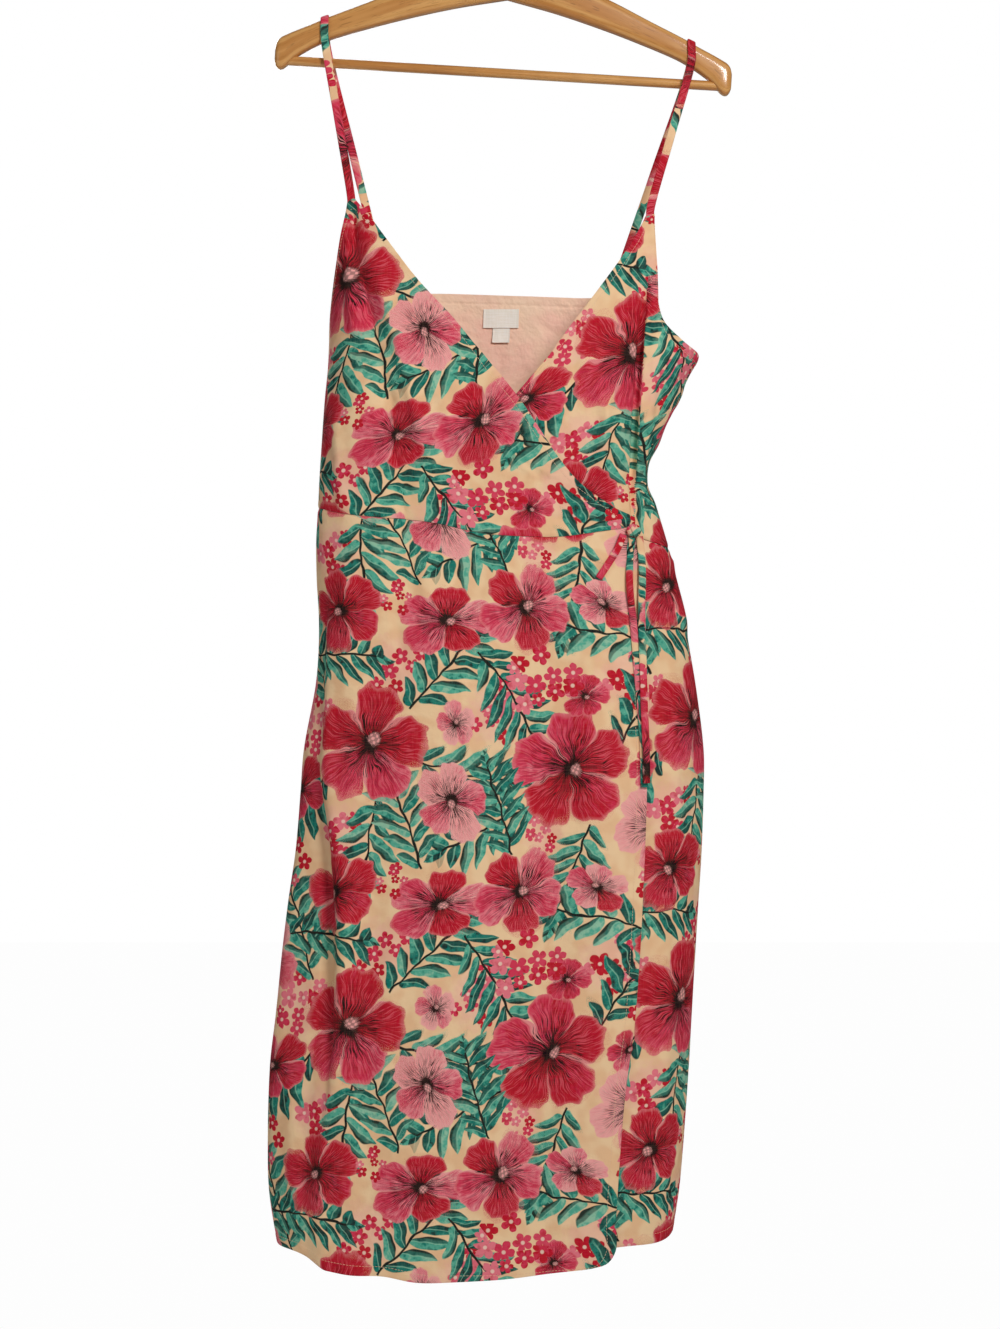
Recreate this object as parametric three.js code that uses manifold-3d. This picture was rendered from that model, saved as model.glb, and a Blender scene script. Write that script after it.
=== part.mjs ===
// A sleeveless wrap dress with spaghetti straps, hanging on a wooden clothes hanger.
// Millimetres, +Z up. The front faces -Y and the wearer's right side is at -X.
// The origin is the inner crown of the hanger's hook, where the hanger hangs.

import * as THREE from "three";
import Module from "manifold-3d";
import { mergeVertices } from "three/addons/utils/BufferGeometryUtils.js";

const wasm = await Module();
wasm.setup();

// Cloth
const WALL = 1.6; // one layer of cloth, with its turned edges
const SEAM_GAP = 0.4; // between two pieces at a seam
const LAYER_STEP = 3.7; // how far the over pieces lie outside the under pieces
const LINING_OUT = -0.3; // the lining's outer face, inside the back
const LABEL_OUT = LINING_OUT - WALL - 0.45;
const LABEL_WALL = 1.0;
const SIDE_SEAM = THREE.MathUtils.degToRad(12); // how far behind the outline the side seams run
const FLATNESS = 0.6; // 0 gives oval sections, more gives flatter fronts and backs

// Straps and ties
const STRAP_WIDTH = 8.0;
const STRAP_DEPTH = 2.0;
const TIE_WIDTH = 7.0;
const TIE_DEPTH = 2.2;
const TIE_REST = WALL + LAYER_STEP + 0.8 + TIE_DEPTH / 2; // centre of a tie that lies on the over skirt
const TIE_STEP = 3.4; // the back tie end crosses outside the front one
const KNOT = { x: 113, z: -646, width: 15, height: 13, depth: 10 };

// Hanger, in its own plane: u along the bar, v up, from the hook's crown
const HANGER_TILT = THREE.MathUtils.degToRad(3.4); // the right end hangs lower
const BAR = { v: -198.5, radius: 4.6, reach: 218, play: 0.3 };
const HOOK = { wire: 1.9, radius: 20.9, seat: -116, play: 0.3 };

// The garment's sections: left and right outline from the front,
// front and back depth from the hanger's plane
const SECTIONS = [
  { z: -300, left: -179, right: 176, front: 27, back: 22 },
  { z: -326, left: -178, right: 176, front: 29, back: 24 },
  { z: -411, left: -178, right: 180, front: 43, back: 38 },
  { z: -475, left: -180, right: 177, front: 50, back: 43 },
  { z: -491, left: -181, right: 169, front: 51, back: 44 },
  { z: -515, left: -183.5, right: 157, front: 52, back: 44 },
  { z: -565, left: -187, right: 137, front: 49, back: 42 },
  { z: -597, left: -189, right: 129, front: 46, back: 40 },
  { z: -620, left: -190, right: 136, front: 45, back: 39 },
  { z: -657, left: -192, right: 147, front: 46, back: 40 },
  { z: -711, left: -191, right: 160, front: 51, back: 44 },
  { z: -757, left: -191, right: 168, front: 54, back: 47 },
  { z: -799, left: -194, right: 175, front: 57, back: 50 },
  { z: -857, left: -204, right: 182, front: 60, back: 53 },
  { z: -896, left: -207, right: 182, front: 61, back: 55 },
  { z: -955, left: -212, right: 180, front: 62, back: 56 },
  { z: -1003, left: -219, right: 177, front: 63, back: 57 },
  { z: -1052, left: -225, right: 174, front: 63, back: 58 },
  { z: -1112, left: -231, right: 170.5, front: 64, back: 58 },
  { z: -1165, left: -237, right: 167.5, front: 64, back: 58 },
  { z: -1248, left: -239, right: 161.5, front: 63, back: 58 },
  { z: -1292, left: -237, right: 157, front: 62, back: 57 },
  { z: -1360, left: -225, right: 145, front: 61, back: 56 },
];

// Folds, each along a line from (x0, z0) to (x1, z1) that bows sideways. A positive rise stands out.
const FRONT_FOLDS = [
  { x0: -157, z0: -322, x1: -127, z1: -468, bow: 4, width: 7, rise: -5 },
  { x0: -148, z0: -350, x1: -72, z1: -600, bow: -6, width: 13, rise: 3.5 },
  { x0: -118, z0: -385, x1: -14, z1: -612, bow: -8, width: 13, rise: 2.6 },
  { x0: -96, z0: -420, x1: 70, z1: -628, bow: -6, width: 11, rise: 2 },
  { x0: -132, z0: -495, x1: -104, z1: -645, bow: -3, width: 10, rise: -4 },
  { x0: -106, z0: -575, x1: -94, z1: -750, bow: 2, width: 12, rise: -3.5 },
  { x0: 128, z0: -340, x1: 124, z1: -392, bow: 0, width: 7, rise: -3 },
  { x0: 128, z0: -412, x1: 112, z1: -622, bow: 4, width: 9, rise: -8 },
  { x0: 152, z0: -462, x1: 127, z1: -610, bow: 3, width: 12, rise: 4 },
  { x0: 140, z0: -575, x1: 116, z1: -650, bow: 0, width: 6, rise: -3 },
  { x0: 148, z0: -700, x1: 118, z1: -650, bow: 0, width: 8, rise: -3 },
  { x0: -58, z0: -640, x1: -84, z1: -1420, bow: 6, width: 34, rise: 5 },
  { x0: -128, z0: -655, x1: -142, z1: -1420, bow: 3, width: 22, rise: -4 },
  { x0: 22, z0: -690, x1: 30, z1: -1420, bow: -5, width: 30, rise: -5 },
  { x0: 84, z0: -680, x1: 70, z1: -1420, bow: 4, width: 26, rise: 4 },
  { x0: 148, z0: -760, x1: 136, z1: -1420, bow: 4, width: 20, rise: 4 },
];
const BACK_FOLDS = [
  { x0: -68, z0: -400, x1: -96, z1: -660, bow: 4, width: 16, rise: -3 },
  { x0: 48, z0: -400, x1: 34, z1: -660, bow: -3, width: 18, rise: 3 },
  { x0: 104, z0: -430, x1: 88, z1: -650, bow: 3, width: 14, rise: -4 },
  { x0: -104, z0: -640, x1: -126, z1: -1420, bow: 5, width: 30, rise: 6 },
  { x0: -40, z0: -650, x1: -46, z1: -1420, bow: -5, width: 28, rise: -6 },
  { x0: 40, z0: -640, x1: 46, z1: -1420, bow: 6, width: 28, rise: 6 },
  { x0: 104, z0: -680, x1: 112, z1: -1420, bow: -4, width: 24, rise: -5 },
];

// The skirt turns under along this line at its left side, and the cloth beyond it lies deeper
const SIDE_TUCK = [
  { z: -790, x: -191, deep: 0 },
  { z: -850, x: -191, deep: 4 },
  { z: -900, x: -188, deep: 10 },
  { z: -965, x: -172, deep: 17 },
  { z: -1041, x: -171, deep: 19 },
  { z: -1111, x: -178, deep: 17 },
  { z: -1179, x: -187, deep: 14 },
  { z: -1239, x: -191, deep: 12 },
  { z: -1293, x: -194, deep: 10 },
  { z: -1360, x: -188, deep: 8 },
];
const TUCK_SOFTNESS = 10;

const smooth = (from, to, value) => THREE.MathUtils.smoothstep(value, from, to);

// Reads one column of a table at a height, on a smooth curve through its rows.
// Heights fall from row to row.
function along(table, key, z) {
  const last = table.length - 1;
  let i = 0;
  while (i < last - 1 && z < table[i + 1].z) i += 1;
  const row = (n) => table[Math.min(Math.max(n, 0), last)];
  const slope = (n) => (row(n + 1)[key] - row(n - 1)[key]) / (row(n + 1).z - row(n - 1).z);
  const span = row(i + 1).z - row(i).z;
  const t = THREE.MathUtils.clamp((z - row(i).z) / span, 0, 1);
  const rise = row(i + 1)[key] - row(i)[key];
  const a = slope(i) * span - rise;
  const b = rise - slope(i + 1) * span;
  return row(i)[key] + t * rise + t * (1 - t) * ((1 - t) * a + t * b);
}

function foldHeight(folds, x, z) {
  let height = 0;
  for (const f of folds) {
    const dx = f.x1 - f.x0;
    const dz = f.z1 - f.z0;
    const length = Math.hypot(dx, dz);
    const u = ((x - f.x0) * dx + (z - f.z0) * dz) / length ** 2;
    if (u <= 0 || u >= 1) continue;
    const off = ((x - f.x0) * dz - (z - f.z0) * dx) / length - f.bow * 4 * u * (1 - u);
    const fade = smooth(0, 0.2, u) * smooth(0, 0.2, 1 - u);
    height += f.rise * fade * Math.exp(-((off / f.width) ** 2));
  }
  return height;
}

// A place on the garment. turn goes from the left outline (0) over the front to the right one (180 degrees)
// and on over the back.
function outline(z) {
  const left = along(SECTIONS, "left", z);
  const right = along(SECTIONS, "right", z);
  return { middle: (left + right) / 2, half: (right - left) / 2 };
}

function hang(turn, z) {
  const { middle, half } = outline(z);
  const across = Math.cos(turn);
  const out = Math.sin(turn);
  const x = middle - half * across;
  const bulge = Math.abs(out) * (1 + FLATNESS * across ** 2);
  if (out < 0) {
    const y = along(SECTIONS, "back", z) * bulge + foldHeight(BACK_FOLDS, x, z) * smooth(0, 0.5, -out);
    return new THREE.Vector3(x, y, z);
  }
  const front = along(SECTIONS, "front", z) * bulge + foldHeight(FRONT_FOLDS, x, z) * smooth(0, 0.35, out);
  const beyond = smooth(-TUCK_SOFTNESS, TUCK_SOFTNESS, along(SIDE_TUCK, "x", z) - x);
  const tuck = along(SIDE_TUCK, "deep", z) * beyond * smooth(0, 0.5, out);
  return new THREE.Vector3(x, -front + tuck, z);
}

// The same place moved out from the cloth's inner face
function skin(turn, z, out) {
  const step = 0.012;
  const rise = 2;
  const round = hang(turn + step, z).sub(hang(turn - step, z));
  const up = hang(turn, z + rise).sub(hang(turn, z - rise));
  return hang(turn, z).addScaledVector(round.cross(up).normalize(), out);
}

// The places at a given x on the front or the back
function front(x, z) {
  const { middle, half } = outline(z);
  return { turn: Math.acos(THREE.MathUtils.clamp((middle - x) / half, -1, 1)), z };
}

function back(x, z) {
  return { turn: 2 * Math.PI - front(x, z).turn, z };
}

// The over pieces step out over the under pieces and come back in at their own side seam
function overLift(turn, z) {
  const x = hang(turn, z).x;
  return turn < 0.05 ? 0 : LAYER_STEP * smooth(-180, -152, x);
}

// Points along a smooth line through places on the garment, evenly spaced
const TURN_SCALE = 190;
function run(places, steps) {
  const knots = places.map((p) => new THREE.Vector3(p.turn * TURN_SCALE, p.z, 0));
  const curve = new THREE.CatmullRomCurve3(knots, false, "centripetal");
  return curve.getSpacedPoints(steps).map((p) => ({ turn: p.x / TURN_SCALE, z: p.y }));
}

function joined(...runs) {
  return runs.flatMap((points, i) => (i ? points.slice(1) : points));
}

function raised(points, dz) {
  return points.map((p) => ({ turn: p.turn, z: p.z + dz }));
}

// Fills a four-sided piece from its edges: bottom and top run along the turn, left and right run upwards
function piece(bottom, top, left, right) {
  const columns = bottom.length - 1;
  const rows = left.length - 1;
  const mix = (key, i, j) => {
    const s = j / columns;
    const r = i / rows;
    const level = (1 - r) * bottom[j][key] + r * top[j][key];
    const upright = (1 - s) * left[i][key] + s * right[i][key];
    const low = (1 - s) * bottom[0][key] + s * bottom[columns][key];
    const high = (1 - s) * top[0][key] + s * top[columns][key];
    return level + upright - (1 - r) * low - r * high;
  };
  const grid = [];
  for (let i = 0; i <= rows; i += 1) {
    grid.push([]);
    for (let j = 0; j <= columns; j += 1) grid[i].push({ turn: mix("turn", i, j), z: mix("z", i, j) });
  }
  return grid;
}

function mesh(points, faces) {
  const geometry = new THREE.BufferGeometry();
  const numbers = points.flatMap((p) => [p.x, p.y, p.z]);
  geometry.setAttribute("position", new THREE.Float32BufferAttribute(numbers, 3));
  geometry.setIndex(faces.flat());
  return geometry;
}

// A wall over a grid of places. lift gives the inner face's distance from the garment's inner surface.
function clothWall(grid, lift = () => 0, wall = WALL) {
  const rows = grid.length;
  const columns = grid[0].length;
  const outer = grid.flat().map((p) => skin(p.turn, p.z, lift(p.turn, p.z) + wall));
  const inner = grid.flat().map((p) => skin(p.turn, p.z, lift(p.turn, p.z)));
  const faces = [];
  const under = rows * columns;
  const quad = (a, b, c, d) => faces.push([a, b, c], [a, c, d]);
  for (let i = 0; i + 1 < rows; i += 1) {
    for (let j = 0; j + 1 < columns; j += 1) {
      const a = i * columns + j;
      quad(a, a + 1, a + columns + 1, a + columns);
      quad(under + a, under + a + columns, under + a + columns + 1, under + a + 1);
    }
  }
  const edge = (a, b) => quad(a, under + a, under + b, b);
  const top = (rows - 1) * columns;
  for (let j = 0; j + 1 < columns; j += 1) {
    edge(j, j + 1);
    edge(top + j + 1, top + j);
  }
  for (let i = 0; i + 1 < rows; i += 1) {
    edge((i + 1) * columns, i * columns);
    edge(i * columns + columns - 1, (i + 1) * columns + columns - 1);
  }
  return mesh([...outer, ...inner], faces);
}

// A closed tube of a flat eight-sided section along a line. across is the direction of its width.
function ribbon(centres, width, depth, across) {
  const corners = [];
  for (let k = 0; k < 8; k += 1) {
    const angle = ((k + 0.5) * Math.PI) / 4;
    const blunt = (v) => Math.sign(v) * Math.abs(v) ** 0.6;
    corners.push([(width / 2) * blunt(Math.cos(angle)), (depth / 2) * blunt(Math.sin(angle))]);
  }
  return sweep(centres, corners, across);
}

function sweep(centres, corners, across) {
  const points = [];
  const faces = [];
  const sides = corners.length;
  centres.forEach((centre, i) => {
    const ahead = centres[Math.min(i + 1, centres.length - 1)].clone();
    const tangent = ahead.sub(centres[Math.max(i - 1, 0)]).normalize();
    const wide = across.clone().addScaledVector(tangent, -across.dot(tangent)).normalize();
    const deep = tangent.clone().cross(wide);
    for (const [w, d] of corners) {
      points.push(centre.clone().addScaledVector(wide, w).addScaledVector(deep, d));
    }
  });
  for (let i = 0; i + 1 < centres.length; i += 1) {
    for (let k = 0; k < sides; k += 1) {
      const a = i * sides + k;
      const b = i * sides + ((k + 1) % sides);
      faces.push([a, b, b + sides], [a, b + sides, a + sides]);
    }
  }
  const last = (centres.length - 1) * sides;
  for (let k = 1; k + 1 < sides; k += 1) faces.push([0, k + 1, k], [last, last + k, last + k + 1]);
  return mesh(points, faces);
}

const curveThrough = (points) => new THREE.CatmullRomCurve3(points, false, "centripetal");

// Seams and edges of the bodice and skirt
const UNDERARM_Z = -476;
const leftSeam = (z) => ({ turn: -SIDE_SEAM, z });
const rightSeam = (z) => ({ turn: Math.PI + SIDE_SEAM, z });
const BODICE_ROWS = 12;
const SKIRT_ROWS = 24;
const WAIST_LEFT = -622;
const WAIST_RIGHT = -662;
const HEM_LEFT = -1336;
const HEM_RIGHT = -1318;

// Moves a line of places sideways by a distance on the cloth
function aside(points, distance) {
  return points.map((p) => {
    const pace = hang(p.turn + 0.01, p.z).distanceTo(hang(p.turn - 0.01, p.z)) / 0.02;
    return { turn: p.turn + distance / pace, z: p.z };
  });
}

const levels = (seam, low, high, rows) => {
  const points = [];
  for (let i = 0; i <= rows; i += 1) points.push(seam(low + ((high - low) * i) / rows));
  return points;
};

const bodiceLeftSeam = levels(leftSeam, WAIST_LEFT, UNDERARM_Z, BODICE_ROWS);
const bodiceRightSeam = levels(rightSeam, WAIST_RIGHT, UNDERARM_Z, BODICE_ROWS);
const skirtLeftSeam = levels(leftSeam, HEM_LEFT, WAIST_LEFT, SKIRT_ROWS);
const skirtRightSeam = levels(rightSeam, HEM_RIGHT, WAIST_RIGHT, SKIRT_ROWS);

const OVER_WAIST_SIDE = [leftSeam(WAIST_LEFT), front(-187, -623), front(-178, -626)];
const OVER_WAIST = [
  front(-178, -626),
  front(-159, -630),
  front(-112, -635),
  front(-82, -638),
  front(-29, -649),
  front(14, -652),
  front(43, -652),
  front(81, -647),
  front(112, -642),
];
const OVER_NECK = [
  front(-153, -325),
  front(-140, -341),
  front(-131, -355),
  front(-112, -382),
  front(-92, -409),
  front(-62, -442),
  front(-34, -476),
  front(0, -517),
  front(43, -580),
  front(90, -622),
  front(112, -633),
];
const UNDER_NECK = [
  front(-122, -627),
  front(-92, -610),
  front(-52, -575),
  front(0, -517),
  front(42, -465),
  front(81, -413),
  front(112, -368),
  front(126, -341),
];
const UNDER_WAIST = [
  front(-122, -637),
  front(-82, -640),
  front(-29, -650),
  front(14, -652),
  front(43, -652),
  front(81, -648),
  front(98, -645),
  front(112, -649),
  front(126, -654),
  front(142, -659),
  rightSeam(WAIST_RIGHT),
];

function overBodice() {
  const armhole = [
    leftSeam(UNDERARM_Z),
    front(-178.5, -440),
    front(-172.5, -395),
    front(-165.5, -352),
    front(-160, -326),
  ];
  const apex = run([front(-160, -326), front(-153, -325)], 1);
  const top = joined(run(armhole, 8), apex, run(OVER_NECK, 20));
  const bottom = joined(run(OVER_WAIST_SIDE, 5), run(OVER_WAIST, 24));
  const tip = run([bottom.at(-1), top.at(-1)], BODICE_ROWS);
  return clothWall(piece(bottom, top, bodiceLeftSeam, tip), overLift);
}

function underBodice() {
  const armhole = [
    front(134, -341),
    front(134, -395),
    front(137, -428),
    front(142, -445),
    front(158, -461),
    front(170, -469),
    rightSeam(UNDERARM_Z),
  ];
  const apex = run([front(126, -341), front(134, -341)], 1);
  const top = joined(run(UNDER_NECK, 17), apex, run(armhole, 12));
  const bottom = run(UNDER_WAIST, top.length - 1);
  const tip = run([bottom[0], top[0]], BODICE_ROWS);
  return clothWall(piece(bottom, top, tip, bodiceRightSeam));
}

const BACK_TOP = [
  rightSeam(UNDERARM_Z),
  back(158, -458),
  back(128, -430),
  back(100, -413),
  back(60, -411),
  back(0, -409),
  back(-84, -407),
  back(-130, -410),
  back(-154, -428),
  back(-174, -456),
  { turn: 2 * Math.PI - SIDE_SEAM, z: UNDERARM_Z },
];

const backSeam = (seam, distance) =>
  aside(seam.map((p) => ({ turn: p.turn < 0 ? p.turn + 2 * Math.PI : p.turn, z: p.z })), distance);

function backWaist(steps) {
  const line = [
    rightSeam(WAIST_RIGHT),
    back(100, -660),
    back(0, -652),
    back(-110, -638),
    { turn: 2 * Math.PI - SIDE_SEAM, z: WAIST_LEFT },
  ];
  return run(line, steps);
}

const BACK_COLUMNS = 26;
const backGrid = piece(
  backWaist(BACK_COLUMNS),
  run(BACK_TOP, BACK_COLUMNS),
  bodiceRightSeam,
  backSeam(bodiceLeftSeam, 0),
);

// Leaves the seam gap at both side edges of a back piece
function insetSides(grid) {
  return grid.map((row) => {
    const edges = [aside([row[0]], SEAM_GAP)[0], aside([row.at(-1)], -SEAM_GAP)[0]];
    return [edges[0], ...row.slice(1, -1), edges[1]];
  });
}

function backBodice() {
  return clothWall(insetSides(backGrid));
}

// The lining lies on the back's own points, moved in, where it shows through the neck
function backLining() {
  const reach = { side: 2, foot: 5, belowTop: 1.2 };
  const rows = backGrid.slice(reach.foot).map((row) => row.slice(reach.side, -reach.side));
  rows.push(raised(rows.pop(), -reach.belowTop));
  return clothWall(rows, () => LINING_OUT - WALL);
}

function insideLabel({ left, right, low, high }, out) {
  const bottom = run([back(right, low), back(left, low)], 5);
  const top = run([back(right, high), back(left, high)], 5);
  const sides = (j) => run([bottom.at(j), top.at(j)], 2);
  return clothWall(piece(bottom, top, sides(0), sides(-1)), () => out - LABEL_WALL, LABEL_WALL);
}

const HEM = [
  leftSeam(HEM_LEFT),
  front(-227, -1335),
  front(-203, -1339),
  front(-181, -1350),
];
const HEM_FRONT = [
  front(-181, -1350),
  front(-152, -1353),
  front(-124, -1353),
  front(-94, -1358),
  front(-62, -1358),
  front(-16, -1356),
  front(30, -1351),
  front(72, -1345),
];
const WRAP_EDGE = [
  front(72, -1345),
  front(87, -1340),
  front(94, -1328),
  front(94, -1300),
  front(97, -1250),
  front(103, -1180),
  front(112, -1115),
  front(118, -1040),
  front(122, -960),
  front(124, -903),
  front(122, -820),
  front(121, -740),
  front(118, -674),
  front(112, -643),
];

function overSkirt() {
  const top = raised(joined(run(OVER_WAIST_SIDE, 8), run(OVER_WAIST, 20)), -SEAM_GAP);
  const bottom = joined(run(HEM, 8), run(HEM_FRONT, 20));
  const wrapEdge = run(WRAP_EDGE.with(-1, top.at(-1)), SKIRT_ROWS);
  const side = skirtLeftSeam.with(-1, top[0]);
  return clothWall(piece(bottom, top, side, wrapEdge), overLift);
}

function underSkirt() {
  const steps = 21;
  const top = raised(run(UNDER_WAIST, steps), -2 * SEAM_GAP);
  const hem = [
    front(-134, -1328),
    front(-40, -1334),
    front(50, -1331),
    front(98, -1327),
    front(138, -1326),
    front(154, -1322),
    rightSeam(HEM_RIGHT),
  ];
  const bottom = run(hem, steps);
  const hidden = run([bottom[0], top[0]], SKIRT_ROWS);
  return clothWall(piece(bottom, top, hidden, skirtRightSeam.with(-1, top.at(-1))));
}

function backSkirt() {
  const steps = 24;
  const top = raised(backWaist(steps), -SEAM_GAP);
  const hem = [
    rightSeam(HEM_RIGHT),
    back(110, -1330),
    back(0, -1342),
    back(-120, -1343),
    { turn: 2 * Math.PI - SIDE_SEAM, z: HEM_LEFT },
  ];
  const sides = [skirtRightSeam.with(-1, top[0]), backSeam(skirtLeftSeam, 0).with(-1, top.at(-1))];
  return clothWall(insetSides(piece(run(hem, steps), top, ...sides)));
}

// The hanger's own plane, turned about the hook's crown
function onHanger(u, v, y = 0) {
  return new THREE.Vector3(u, y, v).applyAxisAngle(new THREE.Vector3(0, 1, 0), HANGER_TILT);
}

// One arm from the middle to its tip
const ARM = [
  { u: 0, upper: -90, lower: -127, half: 8 },
  { u: 50, upper: -103, lower: -138, half: 8 },
  { u: 100, upper: -122, lower: -152, half: 7.5 },
  { u: 140, upper: -140, lower: -165, half: 7 },
  { u: 165, upper: -151, lower: -174, half: 7 },
  { u: 176, upper: -156, lower: -179, half: 7 },
  { u: 190, upper: -163, lower: -187, half: 7 },
  { u: 203, upper: -169, lower: -196, half: 7 },
  { u: 213, upper: -174, lower: -206, half: 7 },
  { u: 218, upper: -177, lower: -207.5, half: 6.5 },
  { u: 221, upper: -181, lower: -205, half: 5 },
  { u: 222.5, upper: -186, lower: -201, half: 3 },
];
const ARM_SIDES = 14;

function manifoldOf(geometry) {
  const bare = geometry.clone();
  bare.deleteAttribute("normal");
  bare.deleteAttribute("uv");
  const merged = mergeVertices(bare, 1e-4);
  const vertProperties = new Float32Array(merged.attributes.position.array);
  const triVerts = new Uint32Array(merged.index.array);
  return new wasm.Manifold(new wasm.Mesh({ numProp: 3, vertProperties, triVerts }));
}

function geometryOf(solid) {
  const { vertProperties, triVerts } = solid.getMesh();
  const geometry = new THREE.BufferGeometry();
  geometry.setAttribute("position", new THREE.BufferAttribute(vertProperties, 3));
  geometry.setIndex(new THREE.BufferAttribute(triVerts, 1));
  return geometry;
}

// A round rod from one place of the hanger to another
function rod(radius, from, to, sides = 16) {
  const length = from.distanceTo(to);
  const geometry = new THREE.CylinderGeometry(radius, radius, length, sides);
  const upright = new THREE.Vector3(0, 1, 0);
  const direction = to.clone().sub(from).normalize();
  geometry.applyQuaternion(new THREE.Quaternion().setFromUnitVectors(upright, direction));
  const middle = from.clone().add(to).multiplyScalar(0.5);
  return geometry.translate(middle.x, middle.y, middle.z);
}

function hangerArm(side) {
  const points = [];
  const faces = [];
  const halfJoint = 0.15;
  const round = (v) => Math.sign(v) * Math.abs(v) ** 0.62;
  ARM.forEach(({ u, upper, lower, half }) => {
    for (let k = 0; k < ARM_SIDES; k += 1) {
      const angle = (2 * Math.PI * k) / ARM_SIDES;
      const v = (upper + lower) / 2 + ((upper - lower) / 2) * round(Math.sin(angle));
      points.push(onHanger(side * Math.max(u, halfJoint), v, half * round(Math.cos(angle))));
    }
  });
  const turned = (a, b, c) => faces.push(side < 0 ? [a, b, c] : [a, c, b]);
  for (let i = 0; i + 1 < ARM.length; i += 1) {
    for (let k = 0; k < ARM_SIDES; k += 1) {
      const a = i * ARM_SIDES + k;
      const b = i * ARM_SIDES + ((k + 1) % ARM_SIDES);
      turned(a, b + ARM_SIDES, b);
      turned(a, a + ARM_SIDES, b + ARM_SIDES);
    }
  }
  const last = (ARM.length - 1) * ARM_SIDES;
  for (let k = 1; k + 1 < ARM_SIDES; k += 1) {
    turned(0, k, k + 1);
    turned(last, last + k + 1, last + k);
  }
  const barEnd = onHanger(side * (BAR.reach + BAR.play), BAR.v);
  const socket = rod(BAR.radius + BAR.play, onHanger(0, BAR.v), barEnd);
  const hole = rod(HOOK.wire + HOOK.play, onHanger(0, HOOK.seat - HOOK.play), onHanger(0, -60), 12);
  const arm = manifoldOf(mesh(points, faces));
  return geometryOf(arm.subtract(manifoldOf(socket)).subtract(manifoldOf(hole)));
}

function hangerBar() {
  return rod(BAR.radius, onHanger(-BAR.reach, BAR.v), onHanger(BAR.reach, BAR.v));
}

function hangerHook() {
  const { wire, radius, seat } = HOOK;
  const centre = wire - radius;
  const shank = [[0, seat], [0, -90], [0, -62], [4, -52], [14, -42]];
  const route = shank.map(([u, v]) => onHanger(u, v));
  for (let angle = -35; angle <= 205; angle += 15) {
    const a = THREE.MathUtils.degToRad(angle);
    route.push(onHanger(radius * Math.cos(a), centre + radius * Math.sin(a)));
  }
  const corners = [];
  const sides = 8;
  for (let k = 0; k < sides; k += 1) {
    const a = (2 * Math.PI * k) / sides;
    corners.push([wire * Math.cos(a), wire * Math.sin(a)]);
  }
  return sweep(curveThrough(route).getSpacedPoints(40), corners, new THREE.Vector3(0, 1, 0));
}

// One strap from the front's point over the hanger's arm to the back's top edge
const STRAPS = {
  right: { arm: -176, slope: 18, front: front(-157, -324.5), back: back(-127, -409), lifted: true },
  left: { arm: 181, slope: -25, front: front(130, -339.4), back: back(97, -412.6), lifted: false },
};

function strap({ arm, slope, front: low, back: end, lifted }) {
  const over = STRAP_DEPTH / 2 + 0.3;
  const rings = ARM.map((row) => ({ ...row, z: -row.u }));
  const half = along(rings, "half", -Math.abs(arm)) + over;
  const top = onHanger(arm, along(rings, "upper", -Math.abs(arm)) + over);
  const near = (y, drop) => new THREE.Vector3(top.x, y, top.z - drop);
  const lift = (lifted ? overLift(low.turn, low.z) : 0) + WALL / 2;
  const start = skin(low.turn, low.z, lift);
  const foot = skin(end.turn, end.z + SEAM_GAP, WALL / 2);
  const route = [
    start,
    start.clone().lerp(near(-half - 0.6, 20), 0.5).add(new THREE.Vector3(0, -0.8, 0)),
    near(-half - 0.6, 20),
    near(-half, 8),
    near(-half * 0.88, 1.8),
    near(-half * 0.5, 0),
    near(0, 0),
    near(half * 0.5, 0),
    near(half * 0.88, 1.8),
    near(half, 8),
    near(half + 0.6, 20),
    near(half + 0.6, 20).lerp(foot, 0.5).add(new THREE.Vector3(0, 0.8, 0)),
    foot,
  ];
  const tilt = THREE.MathUtils.degToRad(slope);
  const across = new THREE.Vector3(Math.cos(tilt), 0, Math.sin(tilt));
  const middle = curveThrough(route.slice(2, 11)).getSpacedPoints(18);
  const rise = curveThrough(route.slice(0, 3)).getSpacedPoints(6).slice(0, -1);
  const fall = curveThrough(route.slice(10)).getSpacedPoints(8).slice(1);
  return ribbon([...rise, ...middle, ...fall], STRAP_WIDTH, STRAP_DEPTH, across);
}

// The tie at the wearer's left waist lies on the over pieces.
// A place straight in front of the cloth at x and z, clear of it by a distance.
function before(x, z, clear) {
  const { turn } = front(x, z);
  const face = hang(turn, z);
  const normal = skin(turn, z, 1).sub(face);
  return new THREE.Vector3(x, face.y + clear / normal.y, z);
}

function tieKnot() {
  const { x, z, width, height, depth } = KNOT;
  const face = front(x, z).turn;
  const normal = skin(face, z, 1).sub(hang(face, z));
  const reach = new THREE.Vector3(width, depth, height).multiply(normal).length() / 2;
  const centre = before(x, z, WALL + LAYER_STEP - 0.5 + reach);
  const geometry = new THREE.SphereGeometry(0.5, 14, 10);
  geometry.scale(width, depth, height);
  geometry.translate(centre.x, centre.y, centre.z);
  return geometryOf(manifoldOf(geometry));
}

const TIE_FRONT = [
  { x: 111.5, z: -653 },
  { x: 109.5, z: -668 },
  { x: 109, z: -702 },
  { x: 112, z: -732 },
  { x: 115, z: -770 },
  { x: 118.5, z: -812 },
  { x: 121, z: -850 },
  { x: 122, z: -890 },
];
const TIE_BACK = [
  { x: 118.5, z: -651.5 },
  { x: 120.5, z: -668 },
  { x: 121, z: -690 },
  { x: 120, z: -722 },
  { x: 121, z: -770 },
  { x: 122, z: -812 },
  { x: 123.5, z: -850 },
  { x: 124, z: -886 },
];

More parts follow.
